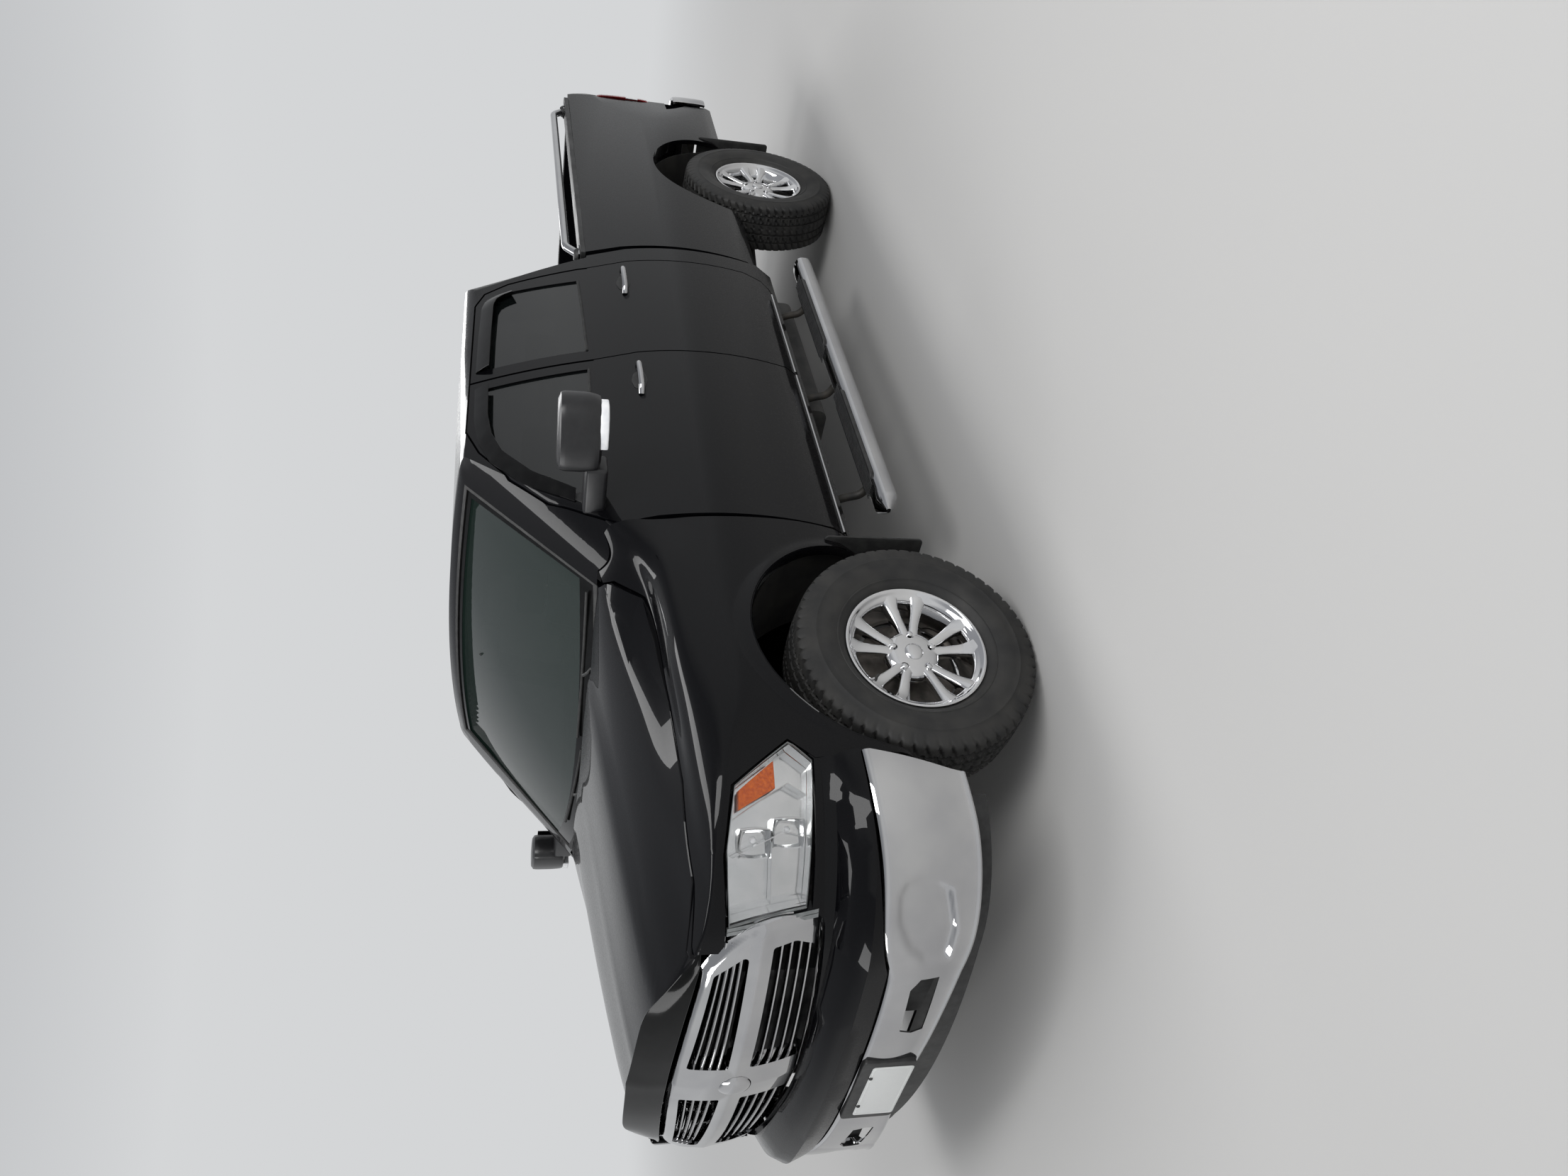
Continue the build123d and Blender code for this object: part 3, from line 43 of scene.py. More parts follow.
# Camera: it stands at the left front corner at eye height, and is turned a quarter about its view line because the
# photograph is stored on its side.
eye = Vector((4.4771, 3.4265, 1.6843))
heading, tilt, lean = (math.radians(a) for a in (-138.719, -13.413, 1.623))
image_width_px, focal_px, sensor_mm = 2212, 1661.85, 36
look = Vector((math.cos(heading) * math.cos(tilt), math.sin(heading) * math.cos(tilt), math.sin(tilt)))
level = look.cross(Vector((0, 0, 1))).normalized()
upright = level.cross(look)
right = math.cos(lean) * level + math.sin(lean) * upright
top = -math.sin(lean) * level + math.cos(lean) * upright
camera_data = bpy.data.cameras.new("camera")
camera_data.sensor_width = sensor_mm
camera_data.lens = sensor_mm * focal_px / image_width_px
camera_data.clip_end = 200


def add_object(name, data):
    """New object, linked into the scene."""
    made = bpy.data.objects.new(name, data)
    scene.collection.objects.link(made)
    return made


camera = add_object("camera", camera_data)
camera.matrix_world = Matrix((
    (-top.x, right.x, -look.x, eye.x),
    (-top.y, right.y, -look.y, eye.y),
    (-top.z, right.z, -look.z, eye.z),
    (0, 0, 0, 1)))
scene.camera = camera

# Studio: a pale matt floor, a pale surround that darkens overhead, and four large soft lamps. Black paint and chrome
# show only what they mirror, so the lamps are long panels with darker room between them.
scene.view_settings.view_transform = "Standard"
floor_half, floor_rough = 45, 0.85
floor_colour = (0.50, 0.495, 0.485)
backdrop_colour, overhead_colour = (0.66, 0.67, 0.68), (0.34, 0.35, 0.37)
darken_from, darken_to = 0.22, 0.55
fade_near, fade_far = 3.0, 12.0


def add_node(tree, kind, **values):
    """New shader node with values for its sockets, where _ stands for a space."""
    node = tree.nodes.new("ShaderNode" + kind)
    for socket, value in values.items():
        node.inputs[socket.replace("_", " ")].default_value = value
    return node


def link_nodes(tree, *pairs):
    """Join (node, output) to (node, input) pairs in a node tree."""
    for source, output, target, socket in pairs:
        tree.links.new(source.outputs[output], target.inputs[socket])


world = bpy.data.worlds.new("surround")
world.use_nodes = True
scene.world = world
sky = world.node_tree
sky.nodes.clear()
sky_out = add_node(sky, "OutputWorld")
sky_light = add_node(sky, "Background")
sky_place = add_node(sky, "TexCoord")
sky_split = add_node(sky, "SeparateXYZ")
sky_ramp = add_node(sky, "ValToRGB")
level_stop, overhead_stop = sky_ramp.color_ramp.elements
level_stop.position, overhead_stop.position = darken_from, darken_to
level_stop.color, overhead_stop.color = (*backdrop_colour, 1), (*overhead_colour, 1)
link_nodes(sky, (sky_place, "Generated", sky_split, "Vector"), (sky_split, "Z", sky_ramp, "Fac"),
           (sky_ramp, "Color", sky_light, "Color"), (sky_light, 0, sky_out, 0))

floor_mesh = bpy.data.meshes.new("floor")
floor_mesh.from_pydata([(-floor_half, -floor_half, 0), (floor_half, -floor_half, 0), (floor_half, floor_half, 0),
                        (-floor_half, floor_half, 0)], [], [(0, 1, 2, 3)])
floor = add_object("floor", floor_mesh)
floor_paint = bpy.data.materials.new("pale_floor")
floor_paint.use_nodes = True
floor_shader = floor_paint.node_tree.nodes["Principled BSDF"]
floor_shader.inputs["Base Color"].default_value = (*floor_colour, 1)
floor_shader.inputs["Roughness"].default_value = floor_rough
# Far out the floor turns into the backdrop, so no horizon shows
floor_tree = floor_paint.node_tree
floor_place = add_node(floor_tree, "TexCoord")
floor_reach = add_node(floor_tree, "VectorMath")
floor_reach.operation = "LENGTH"
floor_fade = add_node(floor_tree, "MapRange", From_Min=fade_near, From_Max=fade_far)
floor_fade.interpolation_type = "SMOOTHSTEP"
floor_far = add_node(floor_tree, "Emission", Color=(*backdrop_colour, 1))
floor_blend = add_node(floor_tree, "MixShader")
link_nodes(floor_tree, (floor_place, "Object", floor_reach, 0), (floor_reach, "Value", floor_fade, "Value"),
           (floor_fade, "Result", floor_blend, 0), (floor_shader, 0, floor_blend, 1), (floor_far, 0, floor_blend, 2),
           (floor_blend, 0, floor_tree.nodes["Material Output"], 0))
floor_mesh.materials.append(floor_paint)

lamps = (
    # name, place, target, width, length, power
    ("key", (3.5, 7.5, 6.5), (0.3, 0.6, 0.9), 3.0, 6.5, 500),
    ("front", (10.0, -3.0, 4.5), (1.5, 0, 0.9), 2.5, 5.0, 250),
    ("back", (-9.0, -4.0, 6.5), (-1.0, 0, 1.0), 3.5, 6.5, 320),
    ("top", (0.0, -0.5, 8.5), (0, -0.5, 1.0), 8.0, 1.8, 260),
)
for name, place, target, width, length, power in lamps:
    lamp_data = bpy.data.lights.new(name, "AREA")
    lamp_data.shape = "RECTANGLE"
    lamp_data.size = width
    lamp_data.size_y = length
    lamp_data.energy = power
    lamp = add_object(name, lamp_data)
    lamp.location = place
    lamp.rotation_euler = (Vector(target) - Vector(place)).to_track_quat("-Z", "Y").to_euler()

# Cab, doors, box and tailgate: pressed steel panels, spot-welded or hung on hinges, in gloss black. The paint is a
# dark base with a faint metal fleck under a clear coat, with dust along the sills.
edge_angle = math.radians(38)
weld_gap = 0.00002
cloud_share, cloud_least, cloud_detail = 0.11, 1.2, 4
cloud_dark, cloud_light = 0.3, 0.7


def finish(name, dark, light, rough, metal=0.0, grain=60, detail=3, spread=(0.35, 0.7), bump=0.0, bump_depth=0.001,
           bump_grain=None, **sockets):
    """Material whose colour and roughness vary with a fine pattern, and whose surface may be grained."""
    material = bpy.data.materials.new(name)
    material.use_nodes = True
    tree = material.node_tree
    shader = tree.nodes["Principled BSDF"]
    place = add_node(tree, "TexCoord")
    noise = add_node(tree, "TexNoise", Scale=grain, Detail=detail)
    tint = add_node(tree, "ValToRGB")
    dark_stop, light_stop = tint.color_ramp.elements
    dark_stop.position, light_stop.position = spread
    dark_stop.color, light_stop.color = (*dark, 1), (*light, 1)
    cloud = add_node(tree, "TexNoise", Scale=grain * cloud_share + cloud_least, Detail=cloud_detail)
    gloss = add_node(tree, "MapRange", From_Min=cloud_dark, From_Max=cloud_light, To_Min=rough[0], To_Max=rough[1])
    link_nodes(tree, (place, "Object", noise, "Vector"), (place, "Object", cloud, "Vector"),
               (noise, "Fac", tint, "Fac"), (tint, "Color", shader, "Base Color"),
               (cloud, "Fac", gloss, "Value"), (gloss, "Result", shader, "Roughness"))
    if bump:
        relief = add_node(tree, "Bump", Strength=bump, Distance=bump_depth)
        fine = noise
        if bump_grain:
            fine = add_node(tree, "TexNoise", Scale=bump_grain, Detail=2)
            link_nodes(tree, (place, "Object", fine, "Vector"))
        link_nodes(tree, (fine, "Fac", relief, "Height"), (relief, "Normal", shader, "Normal"))
    shader.inputs["Metallic"].default_value = metal
    for socket, value in sockets.items():
        shader.inputs[socket.replace("_", " ")].default_value = value
    return material


def dust_below(material, colour, low_z, high_z, most):
    """Fade a dust colour into a material towards the ground."""
    tree = material.node_tree
    shader = tree.nodes["Principled BSDF"]
    source = shader.inputs["Base Color"].links[0].from_socket
    place = add_node(tree, "TexCoord")
    split = add_node(tree, "SeparateXYZ")
    rise = add_node(tree, "MapRange", From_Min=high_z, From_Max=low_z, To_Max=most)
    speckle = add_node(tree, "TexNoise", Scale=7, Detail=6)
    amount = add_node(tree, "Math")
    amount.operation = "MULTIPLY"
    blend = add_node(tree, "Mix")
    blend.data_type = "RGBA"
    blend.inputs["B"].default_value = (*colour, 1)
    link_nodes(tree, (place, "Object", split, "Vector"), (place, "Object", speckle, "Vector"),
               (split, "Z", rise, "Value"), (rise, "Result", amount, 0), (speckle, "Fac", amount, 1),
               (amount, 0, blend, "Factor"))
    tree.links.new(source, blend.inputs["A"])
    tree.links.new(blend.outputs["Result"], shader.inputs["Base Color"])


def smooth_group():
    """Modifier that shades shallow edges smooth and keeps the sharp ones."""
    group = bpy.data.node_groups.new("smooth_shallow_edges", "GeometryNodeTree")
    group.interface.new_socket("Geometry", in_out="INPUT", socket_type="NodeSocketGeometry")
    group.interface.new_socket("Geometry", in_out="OUTPUT", socket_type="NodeSocketGeometry")
    made = {}
    for key, kind in (("into", "NodeGroupInput"), ("out", "NodeGroupOutput"), ("join", "GeometryNodeMergeByDistance"),
                      ("angle", "GeometryNodeInputMeshEdgeAngle"), ("shallow", "FunctionNodeCompare"),
                      ("faces", "GeometryNodeSetShadeSmooth"), ("edges", "GeometryNodeSetShadeSmooth")):
        made[key] = group.nodes.new(kind)
    made["join"].inputs["Distance"].default_value = weld_gap
    made["shallow"].data_type = "FLOAT"
    made["shallow"].operation = "LESS_EQUAL"
    made["shallow"].inputs[1].default_value = edge_angle
    made["faces"].domain = "FACE"
    made["edges"].domain = "EDGE"
    link_nodes(group, (made["into"], 0, made["join"], 0), (made["join"], 0, made["faces"], 0),
               (made["faces"], 0, made["edges"], 0), (made["angle"], "Unsigned Angle", made["shallow"], 0),
               (made["shallow"], 0, made["edges"], "Shade Smooth"), (made["edges"], 0, made["out"], 0))
    return group


shallow_edges = smooth_group()


def rounded(piece, width, turns):
    """Modifier that rounds a piece's sharp edges."""
    bevel = piece.modifiers.new("rounded_edges", "BEVEL")
    bevel.width = width
    bevel.segments = turns
    bevel.limit_method = "ANGLE"
    bevel.angle_limit = edge_angle


def dress(material, *names, round_to=0.0, turns=2):
    """Give CAD nodes their finish, smooth shading and, where a size is given, rounded edges."""
    for name in names:
        piece = nodes[name]
        piece.data.materials.clear()
        piece.data.materials.append(material)
        if round_to:
            rounded(piece, round_to, turns)
        piece.modifiers.new("smooth", "NODES").node_group = shallow_edges


body_paint = finish("body_paint", (0.0010, 0.0010, 0.0013), (0.0035, 0.0035, 0.0045), (0.25, 0.35), grain=900,
                    detail=1, Specular_IOR_Level=0.02, Coat_Weight=0.65, Coat_Roughness=0.012, Coat_IOR=1.35)
dust_colour, dust_low_z, dust_high_z, dust_most = (0.10, 0.09, 0.08), 0.42, 0.66, 0.14
dust_below(body_paint, dust_colour, dust_low_z, dust_high_z, dust_most)
dress(body_paint, "cab_shell", "door_front_left", "door_front_right", "door_rear_left", "door_rear_right",
      "cargo_box", "tailgate", "fascia", "hood")

# Bonnet: one steel pressing with a raised middle, rolled over at the nose. The smooth skin lies on the pressed
# panel and folds round its edges.
axle_x = 1.8995
clip_stations = (-0.5565, -0.290, 0.150, 0.600, 0.980)
clip_knots = (
    # (y, z) at each station
    ((0.970, 1.195), (0.972, 1.178), (0.965, 1.140), (0.938, 1.062), (0.900, 0.960)),  # shoulder of the wing
    ((0.932, 1.345), (0.856, 1.228), (0.826, 1.186), (0.758, 1.152), (0.640, 1.092)),  # edge beside the bonnet
    ((0.800, 1.384), (0.775, 1.330), (0.735, 1.250), (0.640, 1.192), (0.540, 1.130)),  # crease
    ((0.430, 1.402), (0.430, 1.378), (0.415, 1.328), (0.390, 1.270), (0.360, 1.205)),  # foot of the raised middle
    ((0.000, 1.408), (0.000, 1.386), (0.000, 1.342), (0.000, 1.292), (0.000, 1.238)),  # middle
)
dome_rise, dome_lap, dome_slope = 0.009, 0.020, 0.045


def through(knots, values, at):
    """Smooth curve through a few values; beyond its ends it stays level."""
    at = min(max(at, knots[0]), knots[-1])
    k = 0
    while k < len(knots) - 2 and at > knots[k + 1]:
        k += 1
    span = knots[k + 1] - knots[k]
    t = (at - knots[k]) / span
    rise = (values[k + 1] - values[k]) / span
    before = rise if k == 0 else (values[k + 1] - values[k - 1]) / (knots[k + 1] - knots[k - 1])
    after = rise if k == len(knots) - 2 else (values[k + 2] - values[k]) / (knots[k + 2] - knots[k])
    share = t * t * (3 - 2 * t)
    return ((1 - share) * values[k] + share * values[k + 1]
            + span * (t * (1 - t) ** 2 * before - t * t * (1 - t) * after))


def curve(pairs, at):
    """Smooth curve through (place, value) pairs."""
    return through([p[0] for p in pairs], [p[1] for p in pairs], at)


def ease(value, low, high):
    """Smooth step from 0 at low to 1 at high."""
    t = min(max((value - low) / (high - low), 0), 1)
    return t * t * (3 - 2 * t)


def clip_section(x):
    """Shoulder, bonnet edge, crease, dome foot and middle at a station."""
    return [tuple(through(clip_stations, values, x) for values in zip(*knot)) for knot in clip_knots]


def clip_height(x, y):
    """Height of the body over a point in front of the windscreen."""
    section = clip_section(x)
    dome_y = section[3][0]
    dome = dome_rise * (1 - ease(abs(y), dome_y - dome_lap, dome_y + dome_slope))
    return curve(section[::-1], abs(y)) + dome


def fit(piece, material, body):
    """Give a made piece its material, smooth shading and body."""
    piece.data.materials.clear()
    piece.data.materials.append(material)
    piece.modifiers.new("smooth", "NODES").node_group = shallow_edges
    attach(piece, body)
    return piece


def make_piece(name, points, faces, material, body):
    """Mesh object that rides on a body; without a body it is only a cutter or a draft."""
    mesh = bpy.data.meshes.new(name)
    mesh.from_pydata(points, [], faces)
    tidy = bmesh.new()
    tidy.from_mesh(mesh)
    bmesh.ops.remove_doubles(tidy, verts=tidy.verts, dist=weld_gap)
    bmesh.ops.recalc_face_normals(tidy, faces=tidy.faces)
    tidy.to_mesh(mesh)
    tidy.free()
    piece = add_object(name, mesh)
    if body:
        fit(piece, material, body)
    return piece


def panel(name, rows, material, body, outward, hem=0.016, fold=0.003):
    """Smooth panel through rows of points. Its edges fold inwards over a small radius."""
    rows = [[Vector(p) for p in row] for row in rows]
    last_u, last_v = len(rows) - 1, len(rows[0]) - 1

    def normal(i, j):
        a = rows[min(i + 1, last_u)][j] - rows[max(i - 1, 0)][j]
        b = rows[i][min(j + 1, last_v)] - rows[i][max(j - 1, 0)]
        return a.cross(b).normalized()

    turn = 1 if normal(last_u // 2, last_v // 2).dot(Vector(outward)) > 0 else -1
    points = []
    for i in range(-2, last_u + 3):
        for j in range(-2, last_v + 3):
            ci, cj = min(max(i, 0), last_u), min(max(j, 0), last_v)
            past = max(ci - i, i - ci, cj - j, j - cj)
            point = rows[ci][cj]
            if past:
                point = point - normal(ci, cj) * turn * (fold if past == 1 else hem)
            else:
                if ci in (0, last_u):
                    point = point + (rows[1 if ci == 0 else last_u - 1][cj] - rows[ci][cj]).normalized() * fold
                if cj in (0, last_v):
                    point = point + (rows[ci][1 if cj == 0 else last_v - 1] - rows[ci][cj]).normalized() * fold
            points.append(point)
    wide = last_v + 5
    faces = [(i * wide + j, i * wide + j + 1, (i + 1) * wide + j + 1, (i + 1) * wide + j)
             for i in range(last_u + 4) for j in range(wide - 1)]
    return make_piece(name, points, faces, material, body)


def mirrored_rows(rows):
    """Rows of points on the other side of the truck."""
    return [[Vector((p[0], -p[1], p[2])) for p in row] for row in rows]


def spaced(points, count):
    """Evenly spaced points along a chain."""
    points = [Vector(p) for p in points]
    lengths = [(b - a).length for a, b in zip(points, points[1:])]
    found = []
    for k in range(count):
        want = sum(lengths) * k / (count - 1)
        i = 0
        while i < len(lengths) - 1 and want > lengths[i]:
            want -= lengths[i]
            i += 1
        found.append(points[i].lerp(points[i + 1], min(1, want / lengths[i])))
    return found


def filled(low, high, first, last):
    """Rows of points inside four edges: low and high run the same way, first and last join their ends."""
    rows = []
    for i, (a, b) in enumerate(zip(low, high)):
        u = i / (len(low) - 1)
        row = []
        for j, (c, d) in enumerate(zip(first, last)):
            v = j / (len(first) - 1)
            corners = (low[0] * (1 - u) * (1 - v) + low[-1] * u * (1 - v) + high[0] * (1 - u) * v + high[-1] * u * v)
            row.append(a * (1 - v) + b * v + c * (1 - u) + d * u - corners)
        rows.append(row)
    return rows


# Outline of the bonnet from above, left half, stations from the front axle
nose_roll, skin_lift = 0.028, 0.001
bonnet_half_front, bonnet_half_rear = 0.553, 0.750
bonnet_front = ((0, 0.931), (0.22, 0.922), (0.42, 0.893), (0.553, 0.856))
bonnet_side = ((0.856, 0.553), (0.700, 0.693), (0.430, 0.787), (0.150, 0.823), (-0.290, 0.847), (-0.400, 0.813))
bonnet_rear = ((0, -0.253), (0.24, -0.273), (0.380, -0.291), (0.640, -0.401), (0.750, -0.447))
grille_top_z, grille_top_drop, grille_half = 1.174, 0.039, 0.52
bonnet_steps, half_steps, side_steps = 41, 22, 60


def whole_edge(pairs, half, back):
    """Edge of the bonnet from right to left, from the (y, x) pairs of its left half."""
    ys = [half * k / half_steps for k in range(half_steps + 1)]
    left = [(curve(pairs, y) - back, y, 0) for y in ys]
    return spaced([(x, -y, z) for x, y, z in reversed(left)] + left[1:], bonnet_steps)


front_edge = whole_edge(bonnet_front, bonnet_half_front, nose_roll)
rear_edge = whole_edge(bonnet_rear, bonnet_half_rear, 0)
side_left = ([(0.828, bonnet_half_front, 0)] + [(x, y, 0) for x, y in bonnet_side[1:]]
             + [(-0.447, bonnet_half_rear, 0)])
left_edge = spaced(side_left, side_steps)
right_edge = [Vector((p.x, -p.y, 0)) for p in left_edge]
bonnet_plan = filled(front_edge, rear_edge, right_edge, left_edge)
bonnet_rows = [[(axle_x + p.x, p.y, clip_height(p.x, p.y) + skin_lift) for p in row] for row in zip(*bonnet_plan)]
# The skin rolls over the nose and drops to the grille
for angle in (30, 60, 90):
    turn = math.radians(angle)
    bonnet_rows.insert(0, [(axle_x + p.x + nose_roll * math.sin(turn), p.y,
                            clip_height(p.x, p.y) + skin_lift - nose_roll * (1 - math.cos(turn)))
                           for p in front_edge])
for share in (0.5, 1.0):
    row = []
    for p in front_edge:
        low = grille_top_z - grille_top_drop * min(1.15, abs(p.y) / grille_half) ** 2
        top = clip_height(p.x, p.y) + skin_lift - nose_roll
        row.append((axle_x + p.x + nose_roll, p.y, top + (min(low, top - 0.004) - top) * share))
    bonnet_rows.insert(0, row)
panel("bonnet_skin", bonnet_rows, body_paint, "hood", (0, 0, 1), hem=0.018)

# Bonnet shield: a moulded strip of smoked plastic that follows the leading edge a finger's width ahead of it. Clips
# under the lip of the bonnet hold it, and it drops towards its ends.
shield_half, shield_stand, shield_lean, shield_steps = 0.605, 0.011, 0.016, 60
shield_foot_z, shield_foot_drop = 1.170, 0.040
shield_rise, shield_end_drop, shield_drop_from, shield_end_sweep = 0.032, 0.058, 0.30, 0.62
shield_rows = []
for share in (0, 0.25, 0.5, 0.75, 1.0):
    row = []
    for k in range(shield_steps + 1):
        y = shield_half * (2 * k / shield_steps - 1)
        across, kept = abs(y), min(abs(y), bonnet_half_front)
        low = shield_foot_z - shield_foot_drop * min(1, across / grille_half) ** 2
        edge_x = curve(bonnet_front, kept) - shield_end_sweep * (across - kept)
        high = clip_height(edge_x - nose_roll, kept) + shield_rise
        high -= shield_end_drop * ease(across, shield_drop_from, shield_half)
        row.append((axle_x + edge_x + shield_stand - shield_lean * share * share, y, low + (high - low) * share))
    shield_rows.append(row)
smoked_plastic = finish("smoked_plastic", (0.003, 0.003, 0.003), (0.006, 0.006, 0.006), (0.06, 0.14), grain=20,
                        Specular_IOR_Level=0.12, Coat_Weight=0.10)
shield = panel("bonnet_shield", shield_rows, smoked_plastic, "hood", (1, 0, 0), hem=0.004, fold=0.0015)
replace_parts(shield, "hood_shield")

# Front wings: one pressing each, from the bonnet edge over the shoulder down to the sill, with a rolled lip round the
# wheel arch. The left one is made and mirrored.
nose_xs = (-0.60, 0.05, 0.120, 0.285, 0.425, 0.540, 0.650, 0.690, 0.740, 0.790, 0.838, 0.866)
nose_ys = (1.004, 1.004, 1.003, 0.990, 0.962, 0.921, 0.856, 0.824, 0.776, 0.716, 0.640, 0.560)
wing_profile_low = ((0.905, 0.482), (0.934, 0.522), (0.958, 0.562), (0.988, 0.700), (1.002, 0.860), (0.994, 1.020))
arch_x, arch_z, arch_r = 0.0, 0.485, 0.455
lip_flare, lip_reach = 0.007, 0.045
wing_wall, wing_end_x, corner_soft = 0.004, 0.463, 0.02
sides = (("left", 1), ("right", -1))


def held_in(y, x):
    """Half width at a station, held inside the outline of the nose with a soft corner."""
    limit = through(nose_xs, nose_ys, x)
    near = max(0, corner_soft - abs(y - limit))
    return min(y, limit) - near * near / (4 * corner_soft)


def wing_point(x, share):
    """Point of the left wing: from the sill at 0 over the shoulder to the crease at 1."""
    section = clip_section(x)
    knots = list(wing_profile_low) + section[:3]
    shoulder, edge = section[0], section[1]
    ridge = ((shoulder[0] + edge[0]) / 2 + 0.014, (shoulder[1] + edge[1]) / 2 + 0.012)
    knots.insert(7, ridge)
    along = [0]
    for (y0, z0), (y1, z1) in zip(knots, knots[1:]):
        along.append(along[-1] + math.hypot(y1 - y0, z1 - z0))
    at = share * along[-1]
    y, z = (through(along, values, at) for values in zip(*knots))
    y = held_in(y, x)
    away = math.hypot(x - arch_x, z - arch_z) - arch_r
    if z < 1.0:
        y += lip_flare * (1 - ease(away, 0, lip_reach))
    return Vector((axle_x + x, y, z))


def closed_sheet(name, outer, inner):
    """Thin closed solid between two grids of points."""
    count_u, count_v = len(outer), len(outer[0])
    size = count_u * count_v
    points = [p for row in outer for p in row] + [p for row in inner for p in row]
    faces = []
    for i in range(count_u - 1):
        for j in range(count_v - 1):
            a = i * count_v + j
            face = (a, a + 1, a + count_v + 1, a + count_v)
            faces += [face, tuple(size + k for k in reversed(face))]
    ring = ([(0, j) for j in range(count_v)] + [(i, count_v - 1) for i in range(1, count_u)]
            + [(count_u - 1, j) for j in range(count_v - 2, -1, -1)] + [(i, 0) for i in range(count_u - 2, 0, -1)])
    for (i0, j0), (i1, j1) in zip(ring, ring[1:] + ring[:1]):
        a, b = i0 * count_v + j0, i1 * count_v + j1
        faces.append((a, b, size + b, size + a))
    return make_piece(name, points, faces, None, None)


def prism(name, outline, axis, low, high, material=None, body=None, slot=None):
    """Solid with a flat outline, drawn square to an axis between two planes."""
    places = {"x": lambda a, b, c: (c, a, b), "y": lambda a, b, c: (a, c, b), "z": lambda a, b, c: (a, b, c)}
    count = len(outline)
    points = [places[axis](a, b, c) for c in (low, high) for a, b in outline]
    faces = [tuple(range(count)), tuple(reversed(range(count, 2 * count)))]
    faces += [(k, (k + 1) % count, count + (k + 1) % count, count + k) for k in range(count)]
    return make_piece(name, points, faces, material, body)


def evaluated_mesh(piece):
    """New mesh from an object with its modifiers worked in."""
    return bpy.data.meshes.new_from_object(piece.evaluated_get(bpy.context.evaluated_depsgraph_get()))


def cut(piece, operation, *tools):
    """Boolean a piece with each tool in turn, and drop the tools."""
    for tool in tools:
        step = piece.modifiers.new("cut", "BOOLEAN")
        step.operation = operation
        step.solver = "EXACT"
        step.object = tool
        made = evaluated_mesh(piece)
        piece.modifiers.clear()
        piece.data = made
        bpy.data.objects.remove(tool)
    return piece


def finished_pair(name, piece, material, body):
    """Left piece from a made mesh and its mirror image."""
    pair = []
    for side, turn in sides:
        mesh = piece.data.copy()
        if turn < 0:
            mesh.transform(Matrix.Diagonal((1, -1, 1, 1)))
            mesh.flip_normals()
        pair.append(fit(add_object(f"{name}_{side}", mesh), material, body))
    bpy.data.objects.remove(piece)
    return pair


wing_x0, wing_x1 = -0.5530, 0.698
wing_steps_x, wing_steps_s = 90, 74
outer, inner = [], []
for i in range(wing_steps_x + 1):
    x = wing_x0 + (wing_x1 - wing_x0) * i / wing_steps_x
    outer.append([wing_point(x, j / wing_steps_s) for j in range(wing_steps_s + 1)])
for i in range(wing_steps_x + 1):
    row = []
    for j in range(wing_steps_s + 1):
        a = outer[min(i + 1, wing_steps_x)][j] - outer[max(i - 1, 0)][j]
        b = outer[i][min(j + 1, wing_steps_s)] - outer[i][max(j - 1, 0)]
        normal = b.cross(a).normalized()
        row.append(outer[i][j] - normal * wing_wall * (1 if normal.y > 0 or normal.z > 0 else -1))
    inner.append(row)
wing = closed_sheet("wing", outer, inner)
arch_ring = [(axle_x + arch_x + arch_r * math.cos(angle), arch_z + arch_r * math.sin(angle))
             for angle in (math.radians(5 * k) for k in range(72))]
wing_ahead = [(0.800, 0.40), (0.800, 1.083), (0.692, 1.083), (0.546, 1.060), (0.419, 0.888), (0.475, 0.812),
              (wing_end_x, 0.690), (wing_end_x, 0.40)]
bonnet_ring = [(0.9, 0.0), (0.9, 0.553)] + [(x + 0.002, y + 0.006) for x, y in bonnet_side[:-1]] + [
    (-0.404, 0.819), (-0.455, 0.752), (-0.455, 0.0)]
cut(wing, "DIFFERENCE",
    prism("tool", arch_ring, "y", 0.3, 1.2),
    prism("tool", [(axle_x + x, z) for x, z in wing_ahead], "y", 0.3, 1.2),
    prism("tool", [(axle_x + x, y) for x, y in bonnet_ring], "z", 0.9, 1.6),
    prism("tool", [(axle_x - 0.7, 0.2), (axle_x + 0.9, 0.2), (axle_x + 0.9, 0.640), (axle_x - 0.404, 0.640),
                   (axle_x - 0.404, 0.752), (axle_x - 0.7, 0.752)], "z", 0.4, 1.6))
wings = finished_pair("wing", wing, body_paint, "chassis")
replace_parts(wings[0], "front_fenders")
# Ahead of the wing its tip runs on between the bonnet and the lamp
lamp_top = ((0.540, 1.058), (0.692, 1.083), (0.765, 1.078), (0.866, 1.066))
tip_x0, tip_x1, tip_wide, tip_steps, tip_gap, fine_steps = 0.6965, 0.860, 36, 44, 0.005, 400
for side, turn in sides:
    tip_rows = []
    for k in range(tip_wide + 1):
        x = tip_x0 + (tip_x1 - tip_x0) * k / tip_wide
        floor_z = curve(lamp_top, x)
        edge_y = curve(bonnet_side[3::-1], x) + tip_gap
        line = [wing_point(x, 0.35 + 0.65 * n / fine_steps) for n in range(fine_steps + 1)]
        line = [q for q in line if q.z > floor_z and q.y > edge_y]
        tip_rows.append([Vector((q.x, turn * q.y, q.z)) for q in spaced(line, tip_steps)])
    panel(f"wing_tip_{side}", tip_rows, body_paint, "chassis", (0.4, turn * 0.6, 0.6), hem=0.016, fold=0.0012)
